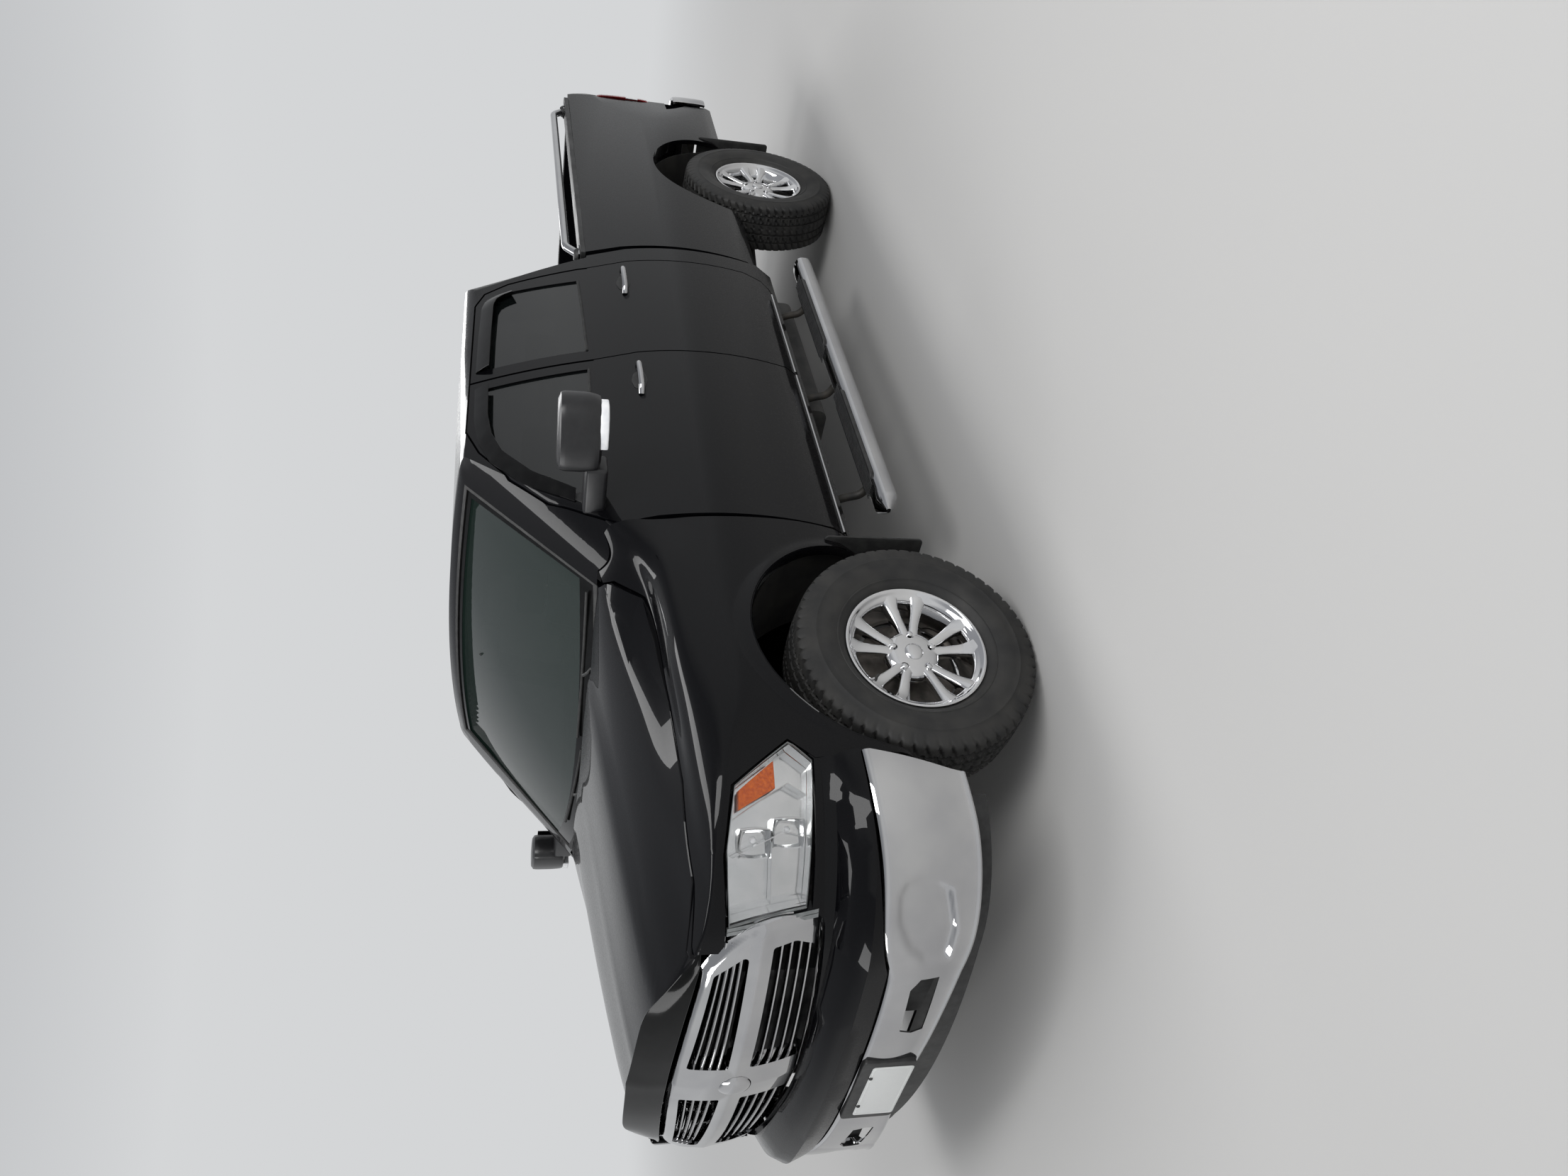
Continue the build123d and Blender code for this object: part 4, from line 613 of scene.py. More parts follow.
# Rolled lip of the arch, turned in towards the wheel
for side, turn in sides:
    lip_rows = []
    for depth, drop in ((0.002, 0.001), (0.0, 0.004), (0.006, 0.008), (0.034, 0.009)):
        row = []
        for k in range(61):
            angle = math.radians(-1 + 3.035 * k)
            x = min(arch_x + (arch_r - drop) * math.cos(angle), wing_end_x)
            z = arch_z + (arch_r - drop) * math.sin(angle)
            y = held_in(curve([(height, half) for half, height in wing_profile_low], z), x) + lip_flare
            row.append((axle_x + x, turn * (y - depth), z))
        lip_rows.append(row)
    panel(f"arch_lip_{side}", lip_rows, body_paint, "chassis", (0, turn, 0), hem=0.002, fold=0.0008)

# Grille: one moulding with a bright plated skin, an upright and a cross bar that meet at a bare hub, and thin bars
# between them. Grey filler strips close the gap to the lamps. The black radiator stands behind it.
chrome = finish("chrome", (0.47, 0.47, 0.48), (0.55, 0.55, 0.55), (0.02, 0.06), metal=1.0, grain=5)
grille_side = ((0.628, 1.052), (0.684, 0.886), (0.688, 0.838), (0.677, 0.808), (0.636, 0.790))
grille_crown, grille_shoulder, grille_foot = 1.166, (0.520, 1.127), 0.761
upright_half, cross_z, cross_half = 0.095, 0.965, 0.033
upper_window = ((0.095, 0.998), (0.095, 1.122), (0.508, 1.090), (0.576, 1.012), (0.570, 0.998))
lower_window = ((0.095, 0.774), (0.095, 0.932), (0.603, 0.932), (0.616, 0.868), (0.585, 0.806), (0.536, 0.789))
bar_count, bar_half, bar_back = 4, 0.0058, 0.009
frame_depth, frame_bevel = 0.045, 0.015


def arc_points(a, via, b, count):
    """Points on the round through three plan points."""
    (ax, ay), (bx, by), (cx, cy) = a, via, b
    d = 2 * (ax * (by - cy) + bx * (cy - ay) + cx * (ay - by))
    a2, b2, c2 = ax * ax + ay * ay, bx * bx + by * by, cx * cx + cy * cy
    ox = (a2 * (by - cy) + b2 * (cy - ay) + c2 * (ay - by)) / d
    oy = (a2 * (cx - bx) + b2 * (ax - cx) + c2 * (bx - ax)) / d
    start = math.atan2(ay - oy, ax - ox)
    sweep = (math.atan2(cy - oy, cx - ox) - start + math.pi) % (2 * math.pi) - math.pi
    radius = math.hypot(ax - ox, ay - oy)
    return [(ox + radius * math.cos(start + sweep * k / count), oy + radius * math.sin(start + sweep * k / count))
            for k in range(count + 1)]


def inside_depth(outline, a, b):
    """Distance from a point to the nearest edge of an outline, 0 when it lies outside."""
    inside = False
    nearest = 9.0
    for (a0, b0), (a1, b1) in zip(outline, outline[1:] + outline[:1]):
        if (b0 > b) != (b1 > b) and a < (a1 - a0) * (b - b0) / (b1 - b0) + a0:
            inside = not inside
        run = (a1 - a0) ** 2 + (b1 - b0) ** 2
        t = min(max(((a - a0) * (a1 - a0) + (b - b0) * (b1 - b0)) / run, 0), 1)
        nearest = min(nearest, math.hypot(a - a0 - t * (a1 - a0), b - b0 - t * (b1 - b0)))
    return nearest if inside else 0


def grille_x(y, z):
    """Place of the grille's face: a round turned about a far upright axis."""
    a, b, c = (0.926, 1.190), (0.953, 0.985), (0.905, 0.750)
    reach = 0
    for (x, at), (_, p), (_, q) in ((a, b, c), (b, a, c), (c, a, b)):
        reach += x * (z - p) * (z - q) / ((at - p) * (at - q))
    return axle_x - 1.216 + math.sqrt((reach + 1.216) ** 2 - y * y)


def eased_corners(outline, radius, steps=5):
    """Outline with its corners rounded off."""
    found = []
    corners = [Vector((a, b, 0)) for a, b in outline]
    for k, corner in enumerate(corners):
        into = (corners[k - 1] - corner)
        away = (corners[(k + 1) % len(corners)] - corner)
        start = corner + into.normalized() * min(radius, into.length * 0.45)
        end = corner + away.normalized() * min(radius, away.length * 0.45)
        for n in range(steps + 1):
            t = n / steps
            q = start * (1 - t) ** 2 + corner * 2 * t * (1 - t) + end * t * t
            found.append((q.x, q.y))
    return found


grille_corner = arc_points(grille_side[4], grille_side[3], grille_side[2], 8)
grille_flank = arc_points(grille_side[1], grille_side[0], grille_shoulder, 20)
grille_ring = (arc_points((-0.636, 0.790), (0, grille_foot), (0.636, 0.790), 40)[:-1] + grille_corner[:-1]
               + grille_flank[:-1] + arc_points(grille_shoulder, (0, grille_crown), (-0.520, 1.127), 50)[:-1]
               + [(-y, z) for y, z in reversed(grille_flank)][:-1] + [(-grille_side[1][0], grille_side[1][1])]
               + [(-y, z) for y, z in reversed(grille_corner)][:-1])
windows = [eased_corners(outline, 0.010) for outline in (upper_window, lower_window)]
grille_high, grille_wide = 72, 190
sheet_foot, sheet_rise, sheet_half = 0.752, 0.422, 0.700
bevel_reach, upright_ridge, cross_ridge = 0.026, 0.006, 0.004
outer, inner = [], []
for i in range(grille_high + 1):
    z = sheet_foot + sheet_rise * i / grille_high
    front_row, back_row = [], []
    for j in range(grille_wide + 1):
        y = sheet_half * (2 * j / grille_wide - 1)
        edge = inside_depth(grille_ring, y, z)
        back = frame_bevel * (1 - ease(edge, 0, bevel_reach))
        ridge = max(0, upright_ridge * (1 - abs(y) / upright_half), cross_ridge * (1 - abs(z - cross_z) / cross_half))
        x = grille_x(y, z)
        front_row.append(Vector((x - back + ridge, y, z)))
        back_row.append(Vector((x - frame_depth, y, z)))
    outer.append(front_row)
    inner.append(back_row)
grille_face = closed_sheet("grille_face", outer, inner)
tool_x = (axle_x + 0.6, axle_x + 1.1)
cut(grille_face, "INTERSECT", prism("tool", grille_ring, "x", *tool_x))
for window in windows:
    cut(grille_face, "DIFFERENCE", prism("tool", window, "x", *tool_x),
        prism("tool", [(-y, z) for y, z in window], "x", *tool_x))
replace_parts(fit(grille_face, chrome, "chassis"), "grille")
bar_section = ((-0.030, 0.7), (-0.012, 1.0), (-0.004, 0.86), (0.0, 0.35), (0.0, -0.35), (-0.004, -0.86),
               (-0.012, -1.0), (-0.030, -0.7))
bar_spans = (
    # low edge and its slope, high edge and its slope: the upper windows, then the lower ones
    (0.998, 0, 1.122, -0.0775),
    (0.774, 0.034, 0.932, 0),
)
bar_y0, bar_reach, bar_steps = 0.088, 0.530, 30
points, faces = [], []
for side, turn in sides:
    for low, low_slope, high, high_slope in bar_spans:
        for k in range(1, bar_count + 1):
            start = len(points)
            for n in range(bar_steps + 1):
                y = bar_y0 + bar_reach * n / bar_steps
                foot = low + low_slope * (y - upright_half)
                head = high + high_slope * (y - upright_half)
                z = foot + (head - foot) * k / (bar_count + 1)
                points += [(grille_x(y, z) - bar_back + a, turn * y, z + b * bar_half) for a, b in bar_section]
            faces += [(start + n * 8 + m, start + n * 8 + (m + 1) % 8, start + n * 8 + 8 + (m + 1) % 8,
                       start + n * 8 + 8 + m) for n in range(bar_steps) for m in range(8)]
make_piece("grille_bars", points, faces, chrome, "chassis")
hub_points = [(0.052 * math.cos(math.pi * k / 16), 0.018 * math.sin(math.pi * k / 16)) for k in range(9)]
engine_alloy = finish("engine_alloy", (0.012, 0.012, 0.012), (0.05, 0.05, 0.05), (0.5, 0.7), metal=0.4, grain=18,
                      bump=0.3)
dress(engine_alloy, "radiator")
nose_front_ys = (0.0, 0.28, 0.56, 0.640, 0.716, 0.776, 0.824)
nose_front_xs = (0.940, 0.921, 0.866, 0.838, 0.790, 0.740, 0.690)
lamp_edge_low, lamp_edge_high = (0.704, 0.800), (0.652, 1.110)


def nose_front(y):
    """Place of the front of the nose at a width."""
    return axle_x + through(nose_front_ys, nose_front_xs, abs(y))


def lamp_edge_y(z):
    """Width at which the lamp begins, at a height."""
    share = (z - lamp_edge_low[1]) / (lamp_edge_high[1] - lamp_edge_low[1])
    return lamp_edge_low[0] + (lamp_edge_high[0] - lamp_edge_low[0]) * share


grey_trim = finish("alloy", (0.20, 0.21, 0.21), (0.30, 0.31, 0.31), (0.25, 0.4), metal=0.8, grain=30)
for side, turn in sides:
    for place, near, far, proud in (("inner", 0.025, 0.015, 0.002), ("outer", 0.013, 0.004, 0.003)):
        rows = []
        for k in range(15):
            z = 0.812 + 0.255 * k / 14
            y0, y1 = lamp_edge_y(z) - near, lamp_edge_y(z) - far
            rows.append([(nose_front(y) + proud, turn * y, z) for y in (y0, (y0 + y1) / 2, y1)])
        panel(f"grille_filler_{place}_{side}", rows, grey_trim, "chassis", (1, 0, 0), hem=0.012, fold=0.001)

# Headlamps: a clear moulded lens over a bright plated bowl, with two square reflectors, their bulbs and an amber
# corner for the turn signal.
lamp_lens = finish("lamp_lens", (0.03, 0.03, 0.03), (0.05, 0.05, 0.05), (0.0, 0.02), grain=3, IOR=2.6, Alpha=0.09)
lamp_silver = finish("lamp_silver", (0.78, 0.79, 0.79), (0.90, 0.90, 0.90), (0.07, 0.18), metal=1.0, grain=9,
                     bump=0.10, bump_depth=0.002, bump_grain=45)
amber_lens = finish("amber_lens", (0.42, 0.060, 0.001), (0.66, 0.13, 0.001), (0.3, 0.4), grain=120, bump=0.6,
                    bump_depth=0.002, bump_grain=160, Specular_IOR_Level=0.3)
bulb_glass = finish("bulb_glass", (0.75, 0.76, 0.78), (0.95, 0.95, 0.95), (0.02, 0.06), grain=20, Coat_Weight=1.0)
lamp_low = ((0.801, 0.847), (0.660, 0.836), (0.484, 0.824))
lamp_high = ((0.829, 1.061), (0.765, 1.070), (0.690, 1.074), (0.549, 1.049))
lamp_in = ((0.801, 0.847), (0.829, 1.061))
lamp_out = ((0.484, 0.824), (0.430, 0.886), (0.549, 1.049))
lamp_bulge, bowl_depth, amber_depth = 0.004, 0.058, 0.009


def lamp_rows(grow, depth, steps_u=36, steps_v=22):
    """Left lamp's surface, shrunk inside its outline by grow and set back by depth."""
    edges = []
    for chain, steps in ((lamp_low, steps_u), (lamp_high, steps_u), (lamp_in, steps_v), (lamp_out, steps_v)):
        edges.append(spaced([(x, 0, z) for x, z in chain], steps))
    plan = filled(*edges)
    middle = Vector((0.655, 0, 0.95))
    rows = []
    for i, row in enumerate(plan):
        line = []
        for j, p in enumerate(row):
            p = middle + (p - middle) * (1 - grow)
            swell = lamp_bulge * math.sin(math.pi * j / (len(row) - 1))
            y = through(nose_xs, nose_ys, p.x) + swell
            away = through(nose_xs, nose_ys, p.x + 0.01) - through(nose_xs, nose_ys, p.x - 0.01)
            out = Vector((-away, 0.02, 0)).normalized()
            line.append(Vector((axle_x + p.x, y, p.z)) - out * depth)
        rows.append(line)
    return rows


def ring_strip(name, rings, material, body, ends=False):
    """Closed band between rings of points; ends also closes its first and last ring."""
    count, last = len(rings[0]), len(rings) - 1
    faces = [(i * count + k, i * count + (k + 1) % count, (i + 1) * count + (k + 1) % count, (i + 1) * count + k)
             for i in range(last) for k in range(count)]
    if ends:
        faces += [tuple(range(count)), tuple(last * count + k for k in reversed(range(count)))]
    return make_piece(name, [p for ring in rings for p in ring], faces, material, body)


def turned(name, profile, centre, direction, material, body, steps=40, square=0.0, ring=False):
    """Turned form from (radius, along) points; square draws the round towards a square, ring joins the ends."""
    direction = Vector(direction).normalized()
    side = direction.cross(Vector((0, 0, 1)))
    side = side.normalized() if side.length > 0.01 else Vector((1, 0, 0))
    rise = side.cross(direction)
    centre = Vector(centre)
    points, faces = [], []
    for radius, along in profile:
        for k in range(steps):
            angle = 2 * math.pi * k / steps
            c, s = math.cos(angle), math.sin(angle)
            reach = radius * (1 - square + square / max(abs(c), abs(s)))
            points.append(centre + side * (reach * c) + rise * (reach * s) + direction * along)
    for i in range(len(profile) - 1):
        for k in range(steps):
            a, b = i * steps + k, i * steps + (k + 1) % steps
            faces.append((a, b, b + steps, a + steps))
    if ring:
        last = (len(profile) - 1) * steps
        faces += [(last + k, last + (k + 1) % steps, (k + 1) % steps, k) for k in range(steps)]
    for row in () if ring else (0, len(profile) - 1):
        if profile[row][0] > 0.0001:
            faces.append(tuple(row * steps + k for k in range(steps)))
    return make_piece(name, points, faces, material, body)


turned("grille_hub", [(0.060, -0.012)] + [(a, b - 0.004) for a, b in hub_points[:-1]] + [(0.0001, 0.014)],
       (grille_x(0, cross_z) + 0.004, 0, cross_z), (1, 0, 0), chrome, "chassis", steps=64)
dish = [(0.004, -0.040), (0.018, -0.038), (0.030, -0.030), (0.038, -0.016), (0.042, 0.000), (0.045, 0.002),
        (0.047, -0.002), (0.043, -0.018), (0.034, -0.034)]
bulb_profile = [(0.0001, -0.046), (0.007, -0.046), (0.009, -0.036), (0.010, -0.026), (0.007, -0.019),
                (0.0001, -0.017)]
for side, turn in sides:
    outer = lamp_rows(0.0, 0.0)
    inner = lamp_rows(0.012, 0.003)
    bowl = lamp_rows(0.02, bowl_depth)
    if turn < 0:
        outer, inner, bowl = (mirrored_rows(rows) for rows in (outer, inner, bowl))
    lens = fit(closed_sheet(f"headlamp_lens_{side}", outer, inner), lamp_lens, "chassis")
    if turn > 0:
        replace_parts(lens, "headlamps")
    panel(f"headlamp_bowl_{side}", bowl, lamp_silver, "chassis", (0.6, turn * 0.8, 0), hem=-0.050, fold=-0.003)
    facing = Vector((0.86, turn * 0.5, 0.02))
    front, deep = lamp_rows(0.03, 0.013), lamp_rows(0.03, bowl_depth - 0.002)
    if turn < 0:
        front, deep = mirrored_rows(front), mirrored_rows(deep)
    for name, near, far in (("shelf", [row[10] for row in front[1:14]], [row[10] for row in deep[1:14]]),
                            ("inner_wall", front[14][1:-1], deep[14][1:-1]),
                            ("outer_wall", front[25][1:-1], deep[25][1:-1])):
        panel(f"lamp_{name}_{side}", [near, [a.lerp(b, 0.5) for a, b in zip(near, far)], far], lamp_silver, "chassis",
              (0.3, turn * 0.3, 1), hem=0.002, fold=0.0008)
    for name, x, z in (("upper", 0.676, 0.992), ("lower", 0.655, 0.895)):
        y = turn * (through(nose_xs, nose_ys, x) - 0.030)
        seat = (axle_x + x - 0.012, y, z)
        turned(f"reflector_{name}_{side}", dish, seat, facing, lamp_silver, "chassis", square=0.7)
        turned(f"bulb_{name}_{side}", bulb_profile, seat, facing, bulb_glass, "chassis", steps=20)
    corner = filled(*(spaced([(x, 0, z) for x, z in chain], 9) for chain in (
        ((0.551, 0.934), (0.478, 0.934)), ((0.603, 1.040), (0.556, 1.038)), ((0.551, 0.934), (0.603, 1.040)),
        ((0.478, 0.934), (0.556, 1.038)))))
    amber_rows = [[(axle_x + p.x, turn * (through(nose_xs, nose_ys, p.x) - amber_depth), p.z) for p in row]
                  for row in corner]
    panel(f"turn_signal_{side}", amber_rows, amber_lens, "chassis", (0, turn, 0), hem=0.03, fold=0.001)
    rim_rows = []
    for grow, depth in ((-0.012, 0.001), (0.004, -0.001), (0.012, 0.004)):
        ring = lamp_rows(grow, depth, 24, 14)
        loop = ([row[0] for row in ring] + ring[-1][1:] + [row[-1] for row in reversed(ring[:-1])]
                + list(reversed(ring[0][:-1])))
        rim_rows.append([Vector((p.x, turn * p.y, p.z)) for p in loop])
    ring_strip(f"headlamp_edge_{side}", rim_rows, grey_trim, "chassis")

# Front bumper: one thick steel pressing, plated bright, with a soft crown, a lip along the bottom, pressed pads where
# fog lamps may go and two air slots. Its top edge turns back under the cover.
bumper_top = ((0, 0.612), (0.30, 0.604), (0.50, 0.601), (0.556, 0.606), (0.628, 0.630), (0.706, 0.646), (0.85, 0.658),
              (0.92, 0.668), (0.988, 0.684))
bumper_low = ((0, 0.439), (0.107, 0.436), (0.290, 0.416), (0.415, 0.402), (0.545, 0.386), (0.673, 0.370),
              (0.80, 0.366), (0.911, 0.372), (0.988, 0.394))
bumper_wall, bumper_crown, pad_depth = 0.005, 0.006, 0.014
fog_pad = ((0.592, 0.430), (0.590, 0.515), (0.640, 0.572), (0.715, 0.612), (0.790, 0.618), (0.826, 0.592),
           (0.834, 0.543), (0.828, 0.490), (0.810, 0.448), (0.700, 0.420))
air_slot = ((0.307, 0.489), (0.318, 0.455), (0.536, 0.450), (0.531, 0.505), (0.490, 0.529), (0.318, 0.526))
bumper_steps, face_steps = 300, 30
bumper_side = arc_points((0.465, 0.988), (0.786, 0.844), (0.932, 0.553), 60)
bumper_plan = (bumper_side + arc_points((0.932, 0.553), (0.998, 0.0), (0.932, -0.553), 60)[1:]
               + [(x, -y) for x, y in reversed(bumper_side)][1:])
bumper_line = spaced([(x, y, 0) for x, y in bumper_plan], bumper_steps)
outer, inner = [], []
for k, p in enumerate(bumper_line):
    along = bumper_line[min(k + 1, bumper_steps - 1)] - bumper_line[max(k - 1, 0)]
    out = Vector((-along.y, along.x, 0)).normalized() * (1 if -along.y * p.x + along.x * p.y > 0 else -1)
    across = abs(p.y)
    top, low = curve(bumper_top, across), curve(bumper_low, across)
    section = [(-0.042, top - 0.001), (-0.014, top), (-0.005, top - 0.002), (-0.001, top - 0.007)]
    for s in range(1, face_steps):
        share = s / face_steps
        z = top - 0.007 - (top - 0.007 - low - 0.012) * share
        stand = bumper_crown * math.sin(math.pi * min(1, share * 1.15)) if share < 0.87 else 0
        stand -= pad_depth * ease(inside_depth(list(fog_pad), across, z), 0, 0.026)
        section.append((stand, z))
    section += [(0.001, low + 0.012), (0.003, low + 0.006), (0.001, low + 0.001), (-0.006, low),
                (-0.026, low + 0.001)]
    outer.append([Vector((axle_x + p.x, p.y, 0)) + out * (stand - 0.002) + Vector((0, 0, z)) for stand, z in section])
    inner.append([Vector((axle_x + p.x, p.y, 0)) + out * (stand - 0.002 - bumper_wall)
                  + Vector((0, 0, z + (0.004 if n > 30 else -0.004 if n < 4 else 0)))
                  for n, (stand, z) in enumerate(section)])
bumper = closed_sheet("front_bumper_face", outer, inner)
bumper_end = [(0.38, 0.78), (0.476, 0.78), (0.476, 0.66), (0.556, 0.385), (0.556, 0.29), (0.38, 0.29)]
cut(bumper, "DIFFERENCE",
    prism("tool", [(axle_x + x, z) for x, z in bumper_end], "y", -1.2, 1.2),
    prism("tool", air_slot, "x", axle_x + 0.8, axle_x + 1.1),
    prism("tool", [(-y, z) for y, z in air_slot], "x", axle_x + 0.8, axle_x + 1.1))
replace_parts(fit(bumper, chrome, "chassis"), "front_bumper")
black_plastic = finish("black_plastic", (0.010, 0.010, 0.010), (0.024, 0.024, 0.024), (0.42, 0.6), grain=40,
                       bump=0.25, bump_depth=0.0006, bump_grain=900)
duct_outline = ((0.295, 0.44), (0.55, 0.44), (0.55, 0.535), (0.295, 0.535))
for side, turn in sides:
    prism(f"air_duct_{side}", [(turn * y, z) for y, z in duct_outline], "x", axle_x + 0.85, axle_x + 0.905,
          black_plastic, "chassis")

# Valance: a black air dam, one moulding of soft plastic. It hangs under the front bumper, and clips along its top
# edge hold it there.
dress(black_plastic, "front_valance", round_to=0.004)

# Number plate: a blank plate pressed from thin sheet, with a raised bead round its edge. Two screws hold it on a
# black moulded bracket.
bracket_half, plate_z, bead_foot, bead_top = 0.178, 0.506, 1.0050, 1.0066
screw_y, screw_z = 0.089, 0.566
plate_white = finish("plate_white", (0.60, 0.61, 0.60), (0.62, 0.63, 0.62), (0.40, 0.44), grain=300, Coat_Weight=0.3)


def rounded_outline(half_a, half_b, radius, centre=(0, 0), steps=6):
    """Rounded rectangle about a centre."""
    found = []
    for sign_a, sign_b, start in ((1, 1, 0), (-1, 1, 90), (-1, -1, 180), (1, -1, 270)):
        for k in range(steps + 1):
            angle = math.radians(start + 90 * k / steps)
            found.append((centre[0] + sign_a * (half_a - radius) + radius * math.cos(angle),
                          centre[1] + sign_b * (half_b - radius) + radius * math.sin(angle)))
    return found


def soft_edges(piece, width, turns=2):
    """Rounded edges on a made piece, worked before its smooth shading."""
    rounded(piece, width, turns)
    piece.modifiers.move(len(piece.modifiers) - 1, 0)
    return piece


bracket = soft_edges(prism("plate_bracket", rounded_outline(bracket_half, 0.084, 0.014, (0, 0.522)), "x",
                           axle_x + 0.985, axle_x + 1.003, black_plastic, "chassis"), 0.002)
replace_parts(bracket, "plate_holder")
soft_edges(prism("blank_plate", rounded_outline(0.152, 0.0655, 0.010, (0, plate_z)), "x", axle_x + 1.0032,
                 axle_x + 1.0052, plate_white, "chassis", slot="alloy"), 0.0006)
bead_out = rounded_outline(0.1465, 0.060, 0.008, (0, plate_z))
bead_in = rounded_outline(0.1435, 0.057, 0.006, (0, plate_z))
bead_rings = [[(axle_x + bead_foot, y, z) for y, z in bead_out],
              [(axle_x + bead_top, (a + c) / 2, (b + d) / 2) for (a, b), (c, d) in zip(bead_out, bead_in)],
              [(axle_x + bead_foot, y, z) for y, z in bead_in]]
ring_strip("plate_bead", bead_rings, plate_white, "chassis")
for side, turn in sides:
    turned(f"plate_screw_{side}", [(0.0001, 0.0045), (0.004, 0.0045), (0.006, 0.003), (0.0065, 0), (0.0065, -0.004)],
           (axle_x + 1.005, turn * screw_y, screw_z), (1, 0, 0), black_plastic, "chassis", steps=18)

# Wheels: bright cast rims, each a barrel and a hub with five pairs of spokes that straddle its five nuts, and a plain
# cap. The tyres are all-terrain ones, with a ribbed and blocked tread and moulded rings on the sidewall.
wheel_z, steer, kingpin_y = 0.401, math.radians(-9.6), 0.790
wheels = (
    # name, x, y, side, steered
    ("front_left", axle_x, 0.8635, 1, True),
    ("front_right", axle_x, -0.8635, -1, True),
    ("rear_left", axle_x - 3.569, 0.8575, 1, False),
    ("rear_right", axle_x - 3.569, -0.8575, -1, False),
)
tyre_profile = (
    # radius, place across from the middle of the tyre, depth of grooves there
    (0.2166, 0.083, 0), (0.225, 0.089, 0), (0.2330, 0.0935, 0), (0.2360, 0.0975, 0), (0.2420, 0.1045, 0),
    (0.2500, 0.1110, 0), (0.2580, 0.1158, 0), (0.2595, 0.1182, 0), (0.2625, 0.1186, 0), (0.2640, 0.1176, 0),
    (0.2800, 0.1250, 0), (0.2980, 0.1296, 0), (0.3150, 0.1312, 0), (0.3300, 0.1306, 0), (0.3320, 0.1316, 0),
    (0.3345, 0.1314, 0), (0.3360, 0.1300, 0), (0.3500, 0.1278, 0), (0.3620, 0.1244, 0.0015), (0.3720, 0.1216, 0.004),
    (0.3820, 0.1182, 0.006), (0.3900, 0.1130, 0.008), (0.3935, 0.1060, 0.009), (0.3955, 0.0960, 0.009),
    (0.3966, 0.0840, 0.009), (0.3970, 0.0760, 0.009), (0.3885, 0.0735, 0), (0.3885, 0.0665, 0),
    (0.3978, 0.0640, 0.008), (0.3985, 0.0540, 0.008), (0.3990, 0.0440, 0.008), (0.3993, 0.0330, 0.008),
    (0.3905, 0.0305, 0), (0.3905, 0.0235, 0), (0.3998, 0.0210, 0.006), (0.4002, 0.0110, 0.006),
    (0.4004, 0.0035, 0.006),
)
tread_steps, tread_pitch, shoulder_y, centre_rib_y = 480, 8, 0.078, 0.028


def wheel_place(x, y, side, steered):
    """Matrix from a wheel's own frame, Y outwards, to its place on the truck."""
    place = Matrix.Translation((x, y, wheel_z)) @ Matrix.Diagonal((1, side, 1, 1))
    if steered:
        pivot = Matrix.Translation((x, side * kingpin_y, 0))
        place = pivot @ Matrix.Rotation(steer, 4, "Z") @ pivot.inverted() @ place
    return place


def tyre_mesh(place):
    """Points and faces of a treaded tyre, turned round its own Y."""
    whole = [(r, y, g) for r, y, g in tyre_profile] + [(r, -y, g) for r, y, g in reversed(tyre_profile)]
    points, faces = [], []
    for k in range(tread_steps):
        angle = 2 * math.pi * k / tread_steps
        for n, (r, y, groove) in enumerate(whole):
            # Cross grooves lean one way on each rib; those of the shoulders are straight
            across = abs(y)
            lean = round(across * 90) if across > shoulder_y else round(across * 150) + (4 if y < 0 else 0)
            step = (k + (lean if y > 0 else -lean) + (4 if across < centre_rib_y else 0)) % tread_pitch
            deep = groove if step < 2 else 0
            if centre_rib_y < across < shoulder_y and step == 5:
                deep = groove * 0.5
            radius = r - deep
            points.append(place @ Vector((radius * math.sin(angle), y, radius * math.cos(angle))))
    count = len(whole)
    for k in range(tread_steps):
        a, b = k * count, ((k + 1) % tread_steps) * count
        faces += [(a + n, a + n + 1, b + n + 1, b + n) for n in range(count - 1)]
        faces.append((a + count - 1, a, b, b + count - 1))
    return points, faces


tyre_rubber = finish("tyre_rubber", (0.010, 0.010, 0.010), (0.024, 0.023, 0.021), (0.55, 0.8), grain=12, detail=6,
                     bump=0.12, bump_depth=0.0006, bump_grain=500)
alloy = finish("alloy", (0.66, 0.66, 0.67), (0.78, 0.78, 0.78), (0.04, 0.10), metal=1.0, grain=6)
rim_barrel = ((0.2020, -0.102), (0.2320, -0.102), (0.2320, -0.094), (0.2160, -0.086), (0.2100, -0.060),
              (0.1860, -0.020), (0.1860, 0.020), (0.2100, 0.060), (0.2160, 0.086), (0.2315, 0.0935),
              (0.2326, 0.0975), (0.2315, 0.1008),
              (0.2280, 0.1019), (0.2240, 0.1010), (0.2200, 0.0975), (0.2165, 0.0925), (0.2120, 0.0885),
              (0.2060, 0.0855), (0.1990, 0.0790), (0.1960, 0.0620), (0.1750, 0.0240), (0.1740, -0.0240),
              (0.2000, -0.0660))
rim_hub = ((0.0001, 0.0690), (0.0330, 0.0690), (0.0500, 0.0670), (0.0660, 0.0650), (0.0780, 0.0620), (0.0870, 0.0550),
           (0.0910, 0.0450), (0.0920, 0.0235), (0.0001, 0.0235))
lug_r, lug_seat_r, lug_seat_y = 0.06985, 0.0155, 0.052
lug_angles = [math.radians(36 + 72 * k) for k in range(5)]
spoke_rs = (0.064, 0.100, 0.140, 0.180, 0.214)
spoke_away = (0.0120, 0.0200, 0.0315, 0.0440, 0.0540)
spoke_half = (0.0175, 0.0165, 0.0180, 0.0225, 0.0330)
spoke_crest = (0.0635, 0.0672, 0.0712, 0.0785, 0.0905)
spoke_section = ((-0.85, 0.036), (-1.0, 0.022), (-0.99, 0.0085), (-0.93, 0.0048), (-0.78, 0.0026), (-0.4, 0.0007),
                 (0, 0), (0.4, 0.0007), (0.78, 0.0026), (0.93, 0.0048), (0.99, 0.0085), (1.0, 0.022), (0.85, 0.036))


